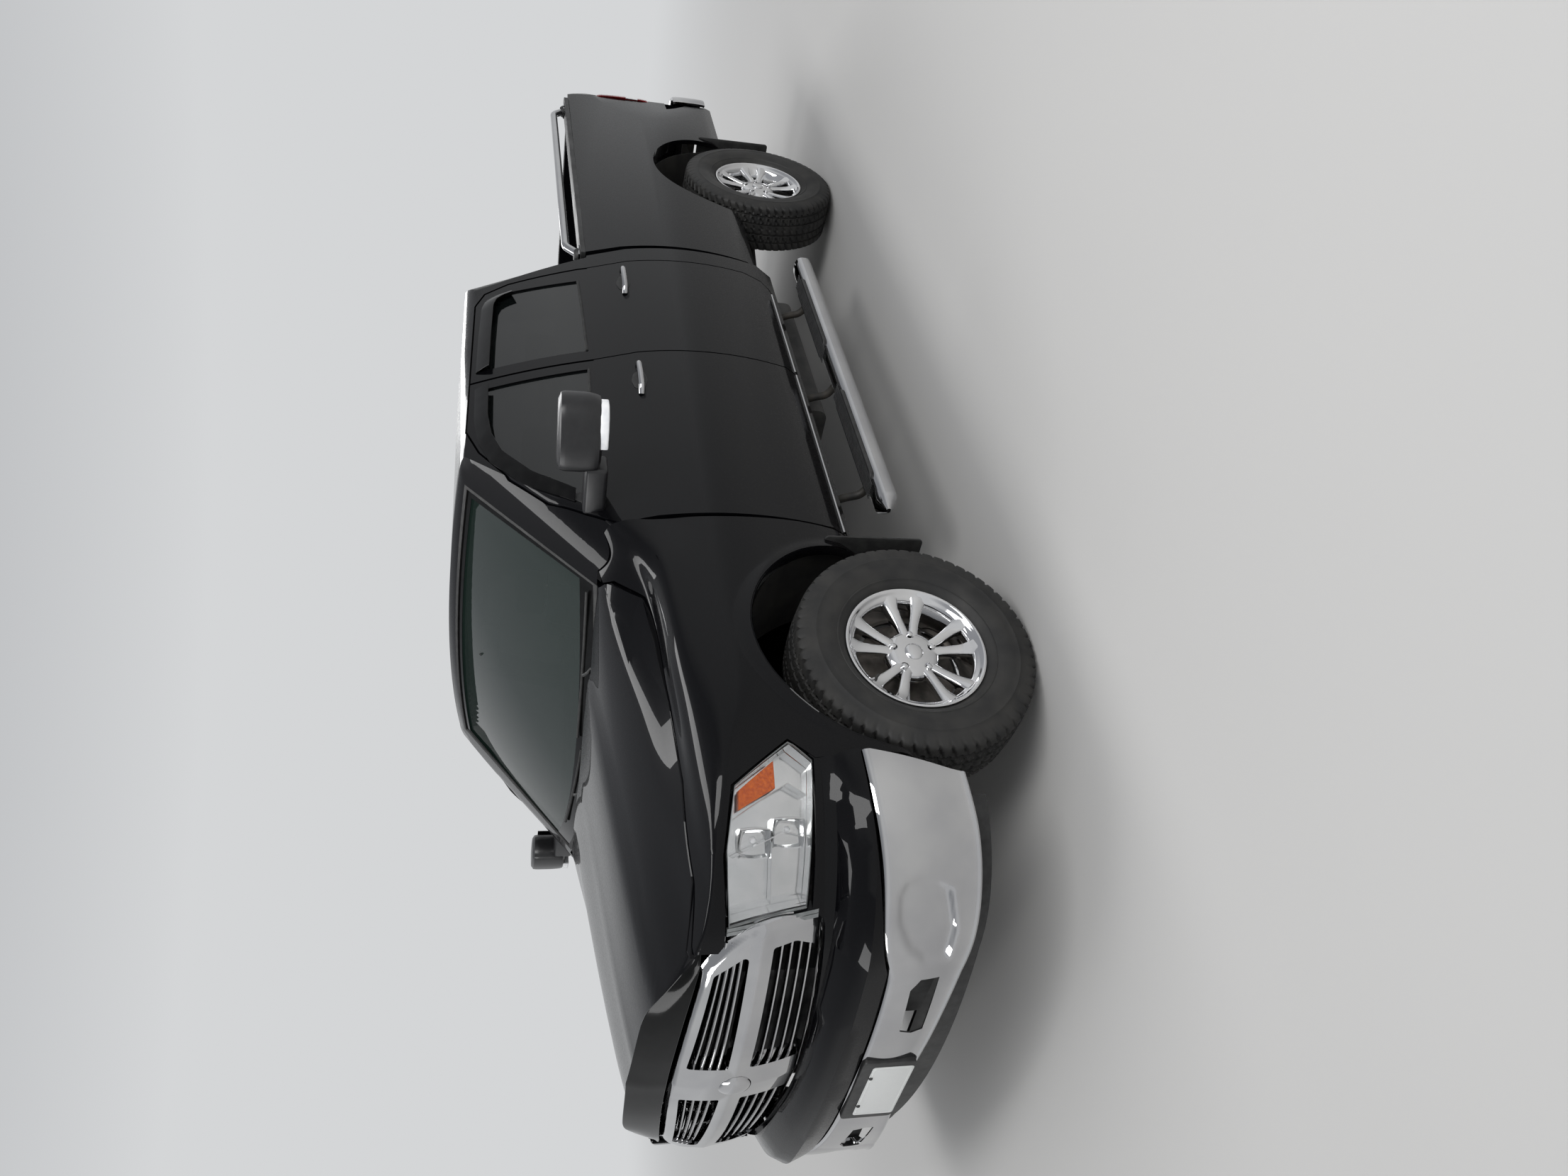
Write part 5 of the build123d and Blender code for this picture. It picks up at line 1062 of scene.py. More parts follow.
def rim_form():
    """Rim in its own frame, Y outwards: a rolled barrel, a hub with five nut seats and five pairs of spokes."""
    barrel = turned("barrel", rim_barrel, (0, 0, 0), (0, 1, 0), None, None, steps=120, ring=True)
    hub = turned("hub", rim_hub, (0, 0, 0), (0, 1, 0), None, None, steps=80)
    cut(hub, "DIFFERENCE", *[turned("tool", ((lug_seat_r, lug_seat_y), (lug_seat_r, 0.09)),
                                    (lug_r * math.cos(a), 0, -lug_r * math.sin(a)), (0, 1, 0), None, None, steps=28)
                             for a in lug_angles])
    whole = bmesh.new()
    for piece in (barrel, hub):
        whole.from_mesh(piece.data)
        bpy.data.objects.remove(piece)
    steps, wide = 26, len(spoke_section)
    for angle in lug_angles:
        reach = Vector((math.cos(angle), 0, -math.sin(angle)))
        across = Vector((math.sin(angle), 0, math.cos(angle)))
        for turn in (1, -1):
            grid = []
            for k in range(steps + 1):
                r = spoke_rs[0] + (spoke_rs[-1] - spoke_rs[0]) * k / steps
                away, half, crest = (through(spoke_rs, values, r) for values in (spoke_away, spoke_half, spoke_crest))
                middle = reach * math.sqrt(r * r - away * away) + across * (turn * away)
                grid.append([whole.verts.new(middle + across * (v * half) + Vector((0, crest - drop, 0)))
                             for v, drop in spoke_section])
            for k in range(steps):
                for n in range(wide):
                    m = (n + 1) % wide
                    whole.faces.new((grid[k][n], grid[k][m], grid[k + 1][m], grid[k + 1][n]))
            whole.faces.new(grid[0])
            whole.faces.new(grid[-1])
    bmesh.ops.recalc_face_normals(whole, faces=whole.faces)
    mesh = bpy.data.meshes.new("rim")
    whole.to_mesh(mesh)
    whole.free()
    return mesh


rim_shape = rim_form()
cap_profile = [(0.0001, 0.078), (0.018, 0.0772), (0.027, 0.0748), (0.0305, 0.071), (0.031, 0.062)]
nut_profile = [(0.0001, 0.074), (0.006, 0.0735), (0.0095, 0.071), (0.0105, 0.067), (0.0105, 0.054), (0.013, 0.050)]
for name, x, y, side, steered in wheels:
    place = wheel_place(x, y, side, steered)
    body = f"wheel_{name}"
    points, faces = tyre_mesh(place)
    tyre = make_piece(f"treaded_tyre_{name}", points, faces, tyre_rubber, body)
    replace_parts(tyre, f"tyre_{name}")
    mesh = rim_shape.copy()
    mesh.transform(place)
    if side < 0:
        mesh.flip_normals()
    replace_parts(fit(add_object(f"spoked_rim_{name}", mesh), alloy, body), f"rim_{name}")
    out = (place.to_3x3() @ Vector((0, 1, 0))).normalized()
    turned(f"hub_cap_{name}", cap_profile, place @ Vector((0, 0, 0)), out, alloy, body, steps=36)
    for k, angle in enumerate(lug_angles):
        spot = place @ Vector((lug_r * math.cos(angle), 0, -lug_r * math.sin(angle)))
        turned(f"lug_nut_{name}_{k + 1}", nut_profile, spot, out, alloy, body, steps=12)
    valve = place @ Vector((0.196 * math.sin(0.63), 0.062, 0.196 * math.cos(0.63)))
    turned(f"valve_{name}", [(0.0001, 0.034), (0.004, 0.034), (0.0045, 0.020), (0.004, 0.0), (0.006, -0.01)], valve,
           (out - (valve - (place @ Vector((0, 0.062, 0)))).normalized() * 0.8), tyre_rubber, body, steps=12)

# Windows: laminated windscreen and tempered side panes, the rear ones tinted, seated in black rubber. The front side
# panes share the rear ones' near-black glass as painted shade of the cab behind them. A black printed band hides the
# glue line of the windscreen.
# Windscreen glass: a dark green sheet, 60 % opaque. Its darkness is partly the glass's tint and partly painted shade
# of the cab behind it.
clear_glass = finish("clear_glass", (0.012, 0.022, 0.018), (0.016, 0.028, 0.023), (0.0, 0.012), grain=1.5, IOR=1.85,
                     Alpha=0.60)
# Side panes: near-black and mostly opaque. On the rear panes this is tint; on the front ones it is painted shade of
# the cab.
tinted_glass = finish("tinted_glass", (0.003, 0.004, 0.004), (0.005, 0.006, 0.006), (0.0, 0.012), grain=1.5, IOR=1.55,
                      Alpha=0.88)
dress(clear_glass, "cab_glass")
dress(tinted_glass, "glass_front_left", "glass_front_right", "glass_rear_left", "glass_rear_right")
black_rubber = finish("black_rubber", (0.010, 0.010, 0.010), (0.026, 0.026, 0.025), (0.55, 0.75), grain=30, bump=0.15,
                      bump_depth=0.0006, bump_grain=700)
screen_mid_x, screen_sweep_r, screen_lean, screen_foot_z = -0.330, 1.9048, -649 / 459, 1.388
screen_low, screen_high = ((0.742, 1.376), 1.352), ((0.676, 1.832), 1.864)


def screen_x(y, z):
    """Station of the windscreen's outer surface."""
    sweep = screen_sweep_r - math.sqrt(screen_sweep_r ** 2 - y * y)
    return axle_x + screen_mid_x - sweep + (z - screen_foot_z) * screen_lean


def screen_ring(inset_side, inset_low, inset_high, count=22):
    """Points round the windscreen, inset from its edge, as (y, z)."""
    (low_y, low_z), low_mid = screen_low
    (high_y, high_z), high_mid = screen_high
    low_y, high_y = low_y - inset_side, high_y - inset_side
    low_z, low_mid = low_z + inset_low, low_mid + inset_low
    high_z, high_mid = high_z - inset_high, high_mid - inset_high
    ring = []
    for k in range(count + 1):
        y = low_y * (1 - 2 * k / count)
        ring.append((y, low_mid + (low_z - low_mid) * (y / low_y) ** 2))
    for k in range(1, count + 1):
        ring.append((-(low_y + (high_y - low_y) * k / count), low_z + (high_z - low_z) * k / count))
    for k in range(1, count + 1):
        y = -high_y * (1 - 2 * k / count)
        ring.append((y, high_mid + (high_z - high_mid) * (y / high_y) ** 2))
    for k in range(1, count):
        ring.append((high_y + (low_y - high_y) * k / count, high_z + (low_z - high_z) * k / count))
    return ring


glass_back = -0.0085
band_rings = [[(screen_x(y, z) + glass_back + 0.0005, y, z) for y, z in screen_ring(*inset)]
              for inset in ((0.001, 0.001, 0.001), (0.028, 0.052, 0.024))]
ring_strip("windscreen_band", band_rings, smoked_plastic, "chassis")
seal_rings = []
for inset, proud in ((-0.004, -0.001), (-0.001, 0.002), (0.006, 0.001), (0.009, -0.008)):
    seal_rings.append([(screen_x(y, z) + proud, y, z) for y, z in screen_ring(inset, inset, inset)])
ring_strip("windscreen_seal", seal_rings, black_rubber, "chassis")


def bar(name, points, radius, material, body):
    """Round bar along a smooth line; the mesh is read from a bevelled curve."""
    data = bpy.data.curves.new(name, "CURVE")
    data.dimensions = "3D"
    line = data.splines.new("NURBS")
    line.points.add(len(points) - 1)
    for place, spot in zip(points, line.points):
        spot.co = (*place, 1)
    line.order_u = 3
    line.use_endpoint_u = True
    line.resolution_u = 6
    data.bevel_depth = radius
    data.bevel_resolution = 4
    data.use_fill_caps = True
    draft = add_object("draft", data)
    mesh = evaluated_mesh(draft)
    bpy.data.objects.remove(draft)
    mesh.name = name
    return fit(add_object(name, mesh), material, body)


# Cowl and wipers: a black moulded grille clipped under the windscreen, and two pressed arms on pivots that carry
# rubber blades
dress(black_plastic, "cowl", round_to=0.002)


def on_screen(y, rise, lift):
    """Point over the windscreen: a rise above its foot, and lifted off the glass."""
    z = 1.380 + rise - 0.02 * (1 - (y / 0.74) ** 2)
    return (screen_x(y, z) + lift, y, z)


for name, foot_y, tip_y, low_y in (("left", 0.46, 0.10, 0.70), ("right", -0.16, -0.50, 0.06)):
    foot_x = axle_x - 0.300 - 0.09 * abs(foot_y)
    middle_y = (tip_y + low_y) / 2
    bar(f"wiper_arm_{name}", [(foot_x, foot_y, 1.352), (foot_x - 0.030, foot_y - 0.02, 1.376),
                              on_screen((foot_y + middle_y) / 2, 0.020, 0.026), on_screen(middle_y, 0.034, 0.018)],
        0.006, black_plastic, "chassis")
    bar(f"wiper_blade_{name}", [on_screen(tip_y, 0.042, 0.006), on_screen(middle_y, 0.034, 0.010),
                                on_screen(low_y, 0.026, 0.006)], 0.0055, black_rubber, "chassis")
    turned(f"wiper_pivot_{name}", [(0.0001, 0.020), (0.012, 0.018), (0.017, 0.012), (0.017, -0.006)],
           (foot_x, foot_y, 1.350), (0, 0, 1), black_plastic, "chassis", steps=24)

# Door trim: rain visors of smoked plastic stuck above the panes, rubber strips at their foot, plated handles screwed
# through the skin, and a thin bright moulding along the sill.
side_zs = (0.482, 0.560, 0.700, 0.860, 1.020, 1.180, 1.354, 1.480, 1.600, 1.720, 1.838)
side_ys = (0.905, 0.958, 0.990, 1.002, 0.998, 0.980, 0.930, 0.899, 0.862, 0.820, 0.775)


def side_y(z):
    """Half width of the cab side at a height."""
    return through(side_zs, side_ys, z)


visors = {
    "front": (((-0.712, 1.452), (-0.862, 1.622), (-1.046, 1.744), (-1.196, 1.793), (-1.338, 1.811), (-1.570, 1.816)),
              ((-0.760, 1.448), (-0.905, 1.594), (-1.072, 1.700), (-1.210, 1.744), (-1.340, 1.760), (-1.562, 1.764))),
    "rear": (((-1.696, 1.817), (-1.960, 1.816), (-2.226, 1.810), (-2.290, 1.794), (-2.318, 1.755), (-2.330, 1.690)),
             ((-1.702, 1.765), (-1.960, 1.764), (-2.205, 1.759), (-2.248, 1.746), (-2.268, 1.722), (-2.280, 1.680))),
}
belts = {"front": ((-0.745, 1.392), (-1.150, 1.381), (-1.560, 1.374)),
         "rear": ((-1.706, 1.377), (-2.010, 1.386), (-2.308, 1.398))}
handles = {"front": (-1.421, 1.187), "rear": (-2.227, 1.205)}
sills = {"front": (-0.572, -1.618), "rear": (-1.642, -2.318)}
for place in ("front", "rear"):
    for side, turn in sides:
        body = f"door_{place}_{side}"
        outer_line = spaced([(x, 0, z) for x, z in visors[place][0]], 34)
        inner_line = spaced([(x, 0, z) for x, z in visors[place][1]], 34)
        rows = []
        for share, stand in ((0, 0.004), (0.12, 0.008), (0.45, 0.017), (0.8, 0.024), (1.0, 0.026)):
            row = []
            for a, b in zip(outer_line, inner_line):
                p = a.lerp(b, share)
                row.append((axle_x + p.x, turn * (side_y(p.z) + stand), p.z))
            rows.append(row)
        panel(f"rain_visor_{place}_{side}", rows, smoked_plastic, body, (0, turn, 0), hem=0.0025, fold=0.0008)
        line = [(axle_x + p.x, turn * (side_y(p.z) - 0.001), p.z)
                for p in spaced([(x, 0, z) for x, z in belts[place]], 8)]
        bar(f"belt_strip_{place}_{side}", line, 0.0065, black_rubber, body)
        x, z = handles[place]
        reach = 0.098
        grip = [(axle_x + x + dx, turn * (side_y(z) + dy), z + dz) for dx, dy, dz in (
            (reach, 0.000, -0.002), (reach - 0.012, 0.020, -0.001), (reach - 0.035, 0.034, 0), (0, 0.040, 0.001),
            (-reach + 0.035, 0.036, 0.001), (-reach + 0.012, 0.024, 0), (-reach, 0.000, 0))]
        bar(f"door_handle_{place}_{side}", grip, 0.0125, chrome, body)
        rows = []
        for k in range(9):
            up = (k / 8 - 0.5) * 2
            half = 0.062 * math.sqrt(max(0.02, 1 - abs(up) ** 2.6))
            at = z + 0.030 * up
            rows.append([(axle_x + x + half * (2 * m / 14 - 1), turn * (side_y(at) + 0.0012), at) for m in range(15)])
        panel(f"handle_cup_{place}_{side}", rows, black_plastic, body, (0, turn, 0), hem=0.004, fold=0.0006)
        x0, x1 = sills[place]
        bar(f"sill_moulding_{place}_{side}",
            [(axle_x + x0 + (x1 - x0) * k / 5, turn * (side_y(0.512) + 0.001), 0.512) for k in range(6)], 0.0055,
            chrome, body)

# Door mirrors: black moulded housings on short arms bolted to the doors, with a clear repeater lens along the lower
# edge and plated glass
mirror_plan = ((-0.660, 1.052), (-0.664, 1.130), (-0.692, 1.205), (-0.732, 1.262), (-0.775, 1.287), (-0.832, 1.284),
               (-0.850, 1.262), (-0.800, 1.046))
mirror_low, mirror_high, mirror_levels = 1.376, 1.522, 17
mirror_x, mirror_y = -0.760, 1.165
(pane_x0, pane_y0), (pane_x1, pane_y1) = (-0.8095, 1.072), (-0.8465, 1.245)
pane_low, pane_rise = 1.398, 0.100
mirror_plastic = finish("mirror_plastic", (0.008, 0.008, 0.009), (0.012, 0.012, 0.013), (0.30, 0.36), grain=40,
                        bump=0.06, bump_depth=0.0004, bump_grain=900)


def chaikin(points, turns):
    """Closed outline with its corners cut back a few times over."""
    for _ in range(turns):
        cut_back = []
        for a, b in zip(points, points[1:] + points[:1]):
            cut_back.append(tuple(p + (q - p) * 0.25 for p, q in zip(a, b)))
            cut_back.append(tuple(p + (q - p) * 0.75 for p, q in zip(a, b)))
        points = cut_back
    return points


for side, turn in sides:
    door = f"door_front_{side}"
    rings = []
    for k in range(mirror_levels):
        up = 2 * k / (mirror_levels - 1) - 1
        scale = 0.80 if abs(up) > 0.999 else (1 - abs(up) ** 7) ** (1 / 2.2) * 0.16 + 0.84
        low_taper = 1 - 0.07 * ease(-up, 0.1, 1)
        z = mirror_low + (mirror_high - mirror_low) * (up + 1) / 2
        rings.append([(axle_x + (mirror_x + (x - mirror_x) * scale),
                       turn * (mirror_y + (y - mirror_y) * scale * low_taper),
                       z - 0.012 * (y - 1.16) * (1 if up < 0 else -0.6)) for x, y in chaikin(list(mirror_plan), 3)])
    housing = ring_strip(f"mirror_housing_{side}", rings, mirror_plastic, door, ends=True)
    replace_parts(housing, f"mirror_{side}")
    arm_plan = ((-0.640, 0.905), (-0.664, 1.080), (-0.760, 1.080), (-0.748, 0.905))
    soft_edges(prism(f"mirror_arm_{side}", [(axle_x + x, turn * y) for x, y in arm_plan], "z", 1.350, 1.428,
                     mirror_plastic, door, slot="black_plastic"), 0.014, 4)
    rows = []
    for k in range(9):
        share = k / 8
        rows.append([(axle_x + x, turn * (side_y(z) + 0.003), z) for x, z in (
            (-0.650 - 0.078 * share - 0.110 * (m / 6) * (1 - share * 0.72), 1.374 + 0.080 * share)
            for m in range(7))])
    panel(f"mirror_base_{side}", rows, black_plastic, door, (0, turn, 0), hem=0.004, fold=0.001)
    rows = []
    for k in range(7):
        z = pane_low + pane_rise * k / 6
        rows.append([(axle_x + pane_x0 + (pane_x1 - pane_x0) * m / 8,
                      turn * (pane_y0 + (pane_y1 - pane_y0) * m / 8), z) for m in range(9)])
    panel(f"mirror_glass_{side}", rows, chrome, door, (-1, 0, 0), hem=0.003, fold=0.0008)
    soft_edges(prism(f"repeater_lens_{side}", [(axle_x + x, turn * y) for x, y in (
        (-0.680, 1.150), (-0.700, 1.214), (-0.728, 1.250), (-0.768, 1.272), (-0.812, 1.270), (-0.800, 1.200),
        (-0.745, 1.150))], "z", 1.356, 1.386, bulb_glass, door, slot="lamp_lens"), 0.006, 3)

# Third brake lamp: a red moulded lens with a grained face, set into the back edge of the roof from outside and sealed
# with a strip of foam
brake_x, brake_low, brake_rise = -2.5485, 1.858, 0.030
rows = []
for k in range(5):
    z = brake_low + brake_rise * k / 4
    rows.append([(axle_x + brake_x, y / 100, z) for y in range(-16, 17, 2)])
red_lens = finish("red_lens", (0.13, 0.0015, 0.002), (0.24, 0.003, 0.004), (0.08, 0.14), grain=8, bump=0.25,
                  bump_depth=0.001, bump_grain=120, Coat_Weight=0.5)
panel("third_brake_lamp", rows, red_lens, "chassis", (-1, 0, 0), hem=0.006, fold=0.001)

# Running boards: plated steel tubes of oval section under the sills, on steel arms bolted to the frame. Ribbed step
# pads of moulded plastic are pressed into their tops.
board_z, board_y, board_half, board_rise = 0.345, 0.985, 0.052, 0.040
board_x0, board_x1 = -0.640, -2.560
board_steps, board_round, board_end_r = 44, 28, 0.060
pad_z = board_z + board_rise + 0.006
pads = ((-1.390, -0.790), (-2.330, -1.740))
chassis_steel = finish("chassis_steel", (0.010, 0.010, 0.009), (0.045, 0.038, 0.030), (0.55, 0.85), grain=14,
                       detail=8, bump=0.2, bump_depth=0.001)
for side, turn in sides:
    rings = []
    for k in range(board_steps + 1):
        share = k / board_steps
        x = board_x0 + (board_x1 - board_x0) * share
        end = min(share, 1 - share) * abs(board_x1 - board_x0)
        swell = math.sqrt(max(0.0, 1 - (1 - min(1, end / board_end_r)) ** 2)) * 0.82 + 0.18
        ring = []
        for m in range(board_round):
            angle = 2 * math.pi * m / board_round
            c, s = math.cos(angle), math.sin(angle)
            y = board_y + board_half * swell * math.copysign(abs(c) ** 0.75, c)
            z = board_z + board_rise * swell * math.copysign(abs(s) ** 0.75, s)
            ring.append((axle_x + x, turn * y, z))
        rings.append(ring)
    board = ring_strip(f"running_board_{side}", rings, chrome, "chassis", ends=True)
    if turn > 0:
        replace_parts(board, "running_boards")
    for number, (x0, x1) in enumerate(pads):
        outline = rounded_outline(abs(x1 - x0) / 2, 0.045, 0.030, (axle_x + (x0 + x1) / 2, turn * board_y))
        soft_edges(prism(f"step_pad_{side}_{number + 1}", outline, "z", board_z + board_rise - 0.010, pad_z,
                         black_plastic, "chassis"), 0.004)
        for rib in range(7):
            y = board_y - 0.030 + 0.010 * rib
            bar(f"pad_rib_{side}_{number + 1}_{rib + 1}",
                [(axle_x + x, turn * y, pad_z) for x in (x0 - 0.04, (x0 + x1) / 2, x1 + 0.04)], 0.0022,
                black_plastic, "chassis")
    for number, x in enumerate((-0.900, -1.600, -2.300)):
        bar(f"board_arm_{side}_{number + 1}", [(axle_x + x, turn * 0.800, 0.500), (axle_x + x, turn * 0.840, 0.440),
                                               (axle_x + x, turn * 0.860, 0.345), (axle_x + x, turn * 0.950, 0.335)],
            0.016, chassis_steel, "chassis")

# Mud flaps: cut from thick rubber sheet almost as wide as the tyre, rounded at the corners, and screwed behind each
# arch
flaps = []
for side, turn in sides:
    for place, x, low, high in (("front", -0.486, 0.255, 0.610), ("rear", -4.031, 0.288, 0.690)):
        outline = rounded_outline(0.1215, (high - low) / 2, 0.016, (turn * 0.8635, (low + high) / 2))
        flaps.append(soft_edges(prism(f"mud_flap_{place}_{side}", outline, "x", axle_x + x, axle_x + x + 0.008,
                                      black_rubber, "chassis"), 0.002))
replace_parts(flaps[0], "mud_flaps")

# Wheel housings: moulded liners inside the front arches and bent sheets inside the rear ones, grained and dusty. They
# are clipped inside the arch lips and keep stones off the panels.
liner_plastic = finish("liner_plastic", (0.008, 0.008, 0.008), (0.030, 0.028, 0.025), (0.7, 0.9), grain=10, detail=7,
                       bump=0.4, bump_depth=0.002)
dress(liner_plastic, "wheel_liners")
rear_arch_x, rear_arch_z, liner_r = -3.569, 0.540, 0.4325
for side, turn in sides:
    rows = []
    for y in (0.655, 0.72, 0.79, 0.86, 0.915):
        row = [(axle_x + rear_arch_x - liner_r, turn * y, 0.500)]
        row += [(axle_x + rear_arch_x - liner_r * math.cos(math.radians(6 * k)), turn * y,
                 rear_arch_z + liner_r * math.sin(math.radians(6 * k))) for k in range(30)]
        rows.append(row)
    panel(f"rear_liner_{side}", rows, liner_plastic, "chassis", (0, 0, -1), hem=0.002, fold=0.0008)

# Box: rail caps of black moulded plastic, plated tube rails on feet, and wrap-round lamps whose red lenses bulge a
# little over the corner, with a clear band for the reversing light
dress(black_plastic, "rail_caps", round_to=0.006, turns=3)
dress(chrome, "bed_rails", round_to=0.002)
dress(red_lens, "tail_lamps", round_to=0.004)
box_end_x = -2.9095 + 0.169
tail_corner_r, tail_half = 0.095, 0.962
rear_lens_low, rear_lens_high = 0.992, 1.062
lens_low, lens_high, lens_inner_y, rear_lens_inner_y = 0.934, 1.229, 0.852, 0.860
rib_foot_z, rib_pitch, rib_r, rib_clear = 0.942, 0.0325, 0.0018, 0.004
corner_angles = [math.radians(9 * k) for k in range(11)]


def lens_bulge(z):
    """How far the lamp's lens stands out from the box at height z: 1 mm at its ends, 10 mm in the middle."""
    return 0.001 + 0.009 * max(0.0, math.sin(math.pi * (z - lens_low) / (lens_high - lens_low))) ** 0.4


def lens_line(z, proud, turn):
    """Points round the corner of the box at height z, proud of the bulged lens."""
    out = lens_bulge(z) + proud
    return [(box_end_x + tail_corner_r * (1 - math.sin(a)) - out * math.sin(a),
             turn * (tail_half - tail_corner_r * (1 - math.cos(a)) + out * math.cos(a)), z) for a in corner_angles]


for side, turn in sides:
    rows = []
    for k in range(17):
        z = lens_low + (lens_high - lens_low) * k / 16
        rows.append(lens_line(z, 0, turn) + [(box_end_x - lens_bulge(z), turn * lens_inner_y, z)])
    panel(f"tail_lens_{side}", rows, red_lens, "chassis", (-0.7, turn * 0.7, 0), hem=0.004, fold=0.001)
    rows = []
    for k in range(7):
        z = rear_lens_low + (rear_lens_high - rear_lens_low) * k / 6
        rows.append(lens_line(z, 0.0015, turn)
                    + [(box_end_x - lens_bulge(z) - 0.0015, turn * rear_lens_inner_y, z)])
    panel(f"reversing_lens_{side}", rows, bulb_glass, "chassis", (-0.7, turn * 0.7, 0), hem=0.005, fold=0.001)
    for line in range(9):
        z = rib_foot_z + rib_pitch * line
        if not rear_lens_low - rib_clear < z < rear_lens_high + rib_clear:
            bar(f"tail_rib_{side}_{line + 1}", lens_line(z, -0.0005, turn), rib_r, red_lens, "chassis")
foot_profile = ((0.030, 0.0), (0.034, 0.004), (0.030, 0.014), (0.024, 0.022), (0.020, 0.024))
for side, turn in sides:
    for place, x in (("front", -2.630), ("rear", -4.440)):
        turned(f"rail_foot_{place}_{side}", foot_profile,
               (axle_x + x, turn * 0.886, 1.382 + (-x - 2.568) / 2.05 * 0.038), (0, 0, 1), black_plastic, "chassis",
               steps=28)

# Rear sill of the box: a painted cross panel, folded from sheet and welded between the side walls, that closes the
# gap between the tailgate and the bumper
sill_half, sill_low, sill_high, sill_set_in, sill_thick = 0.836, 0.690, 0.868, 0.028, 0.012
soft_edges(prism("box_rear_sill", rounded_outline(sill_half, (sill_high - sill_low) / 2, 0.012,
                                                  (0, (sill_high + sill_low) / 2)),
                 "x", box_end_x + sill_set_in, box_end_x + sill_set_in + sill_thick, body_paint, "chassis"), 0.002)

# Tailgate: a painted pressing hinged at its lower edge. A black moulded surround frames its handle, and a moulded
# strip caps its top.
handle_z, handle_half, handle_rise, handle_wall = (1.207 + 1.288) / 2, 0.148, (1.288 - 1.207) / 2, 0.012
ring_out = rounded_outline(handle_half, handle_rise, 0.016, (0, handle_z))
ring_in = rounded_outline(handle_half - handle_wall, handle_rise - handle_wall, 0.010, (0, handle_z))
rings = [[(box_end_x - 0.0005, y, z) for y, z in ring_out], [(box_end_x - 0.004, y * 0.985, z) for y, z in ring_out],
         [(box_end_x - 0.004, y, z) for y, z in ring_in], [(box_end_x + 0.010, y, z) for y, z in ring_in]]
ring_strip("tailgate_handle_surround", rings, black_plastic, "tailgate")
cap_x0, cap_x1, cap_half = box_end_x - 0.003, box_end_x + 0.062, 0.768
soft_edges(prism("tailgate_cap", [(cap_x0, -cap_half), (cap_x0, cap_half), (cap_x1, cap_half), (cap_x1, -cap_half)],
                 "z", 1.388, 1.397, black_plastic, "tailgate"), 0.003)

# Rear bumper: a plated steel step whose ends wrap round the corners of the box. Moulded tread pads lie on top, and
# two screws hold a blank plate in its middle.
dress(chrome, "rear_bumper", round_to=0.005, turns=3)
rear_x0 = -2.9095
end_low, end_high, end_tuck = 0.586, 0.779, 0.004
for side, turn in sides:
    plan = arc_points((-4.7985, 0.800), (-4.750, 0.925), (-4.590, 0.974), 24)
    rows = []
    for share in (0, 0.04, 0.1, 0.3, 0.5, 0.7, 0.9, 0.96, 1):
        z = end_low + (end_high - end_low) * share
        tuck = end_tuck * (abs(2 * share - 1) ** 6)
        rows.append([(axle_x + x + tuck, turn * (y - tuck), z) for x, y in plan])
    panel(f"rear_bumper_end_{side}", rows, chrome, "chassis", (-0.7, turn * 0.7, 0), hem=0.018, fold=0.003)
for name, y0, y1 in (("left", 0.200, 0.800), ("right", -0.800, -0.200)):
    outline = rounded_outline(0.062, (y1 - y0) / 2, 0.02, (rear_x0 + 0.086, (y0 + y1) / 2))
    soft_edges(prism(f"bumper_pad_{name}", outline, "z", 0.7755, 0.7800, black_plastic, "chassis"), 0.0015)
soft_edges(prism("blank_plate_rear", rounded_outline(0.152, 0.062, 0.010, (0, 0.667)), "x", rear_x0 + 0.0275,
                 rear_x0 + 0.0298, plate_white, "chassis", slot="alloy"), 0.0006)
for side, turn in sides:
    turned(f"rear_plate_screw_{side}",
           [(0.0001, 0.0045), (0.004, 0.0045), (0.006, 0.003), (0.0065, 0), (0.0065, -0.003)],
           (rear_x0 + 0.0278, turn * screw_y, 0.717), (-1, 0, 0), black_plastic, "chassis", steps=18)

# Underbody: a painted and rusted steel frame with its arms and axle, cast knuckles, discs and powertrain, a bent
# exhaust pipe and a pressed fuel tank, all bolted together
cast_metal = finish("cast_metal", (0.07, 0.065, 0.06), (0.20, 0.18, 0.16), (0.45, 0.75), metal=0.8, grain=20,
                    detail=8, bump=0.3, bump_depth=0.001)
pipe_steel = finish("pipe_steel", (0.12, 0.10, 0.085), (0.30, 0.28, 0.26), (0.4, 0.6), metal=0.9, grain=16,
                    detail=7, bump=0.2, bump_depth=0.0008)
tank_steel = finish("tank_steel", (0.018, 0.018, 0.018), (0.05, 0.048, 0.045), (0.5, 0.7), grain=12, detail=6,
                    bump=0.2, bump_depth=0.001)
dress(chassis_steel, "frame", "front_suspension", "rear_axle", round_to=0.003)
dress(cast_metal, "knuckle_left", "knuckle_right", round_to=0.002)
dress(engine_alloy, "powertrain", round_to=0.006)
dress(pipe_steel, "exhaust")
dress(tank_steel, "fuel_tank")

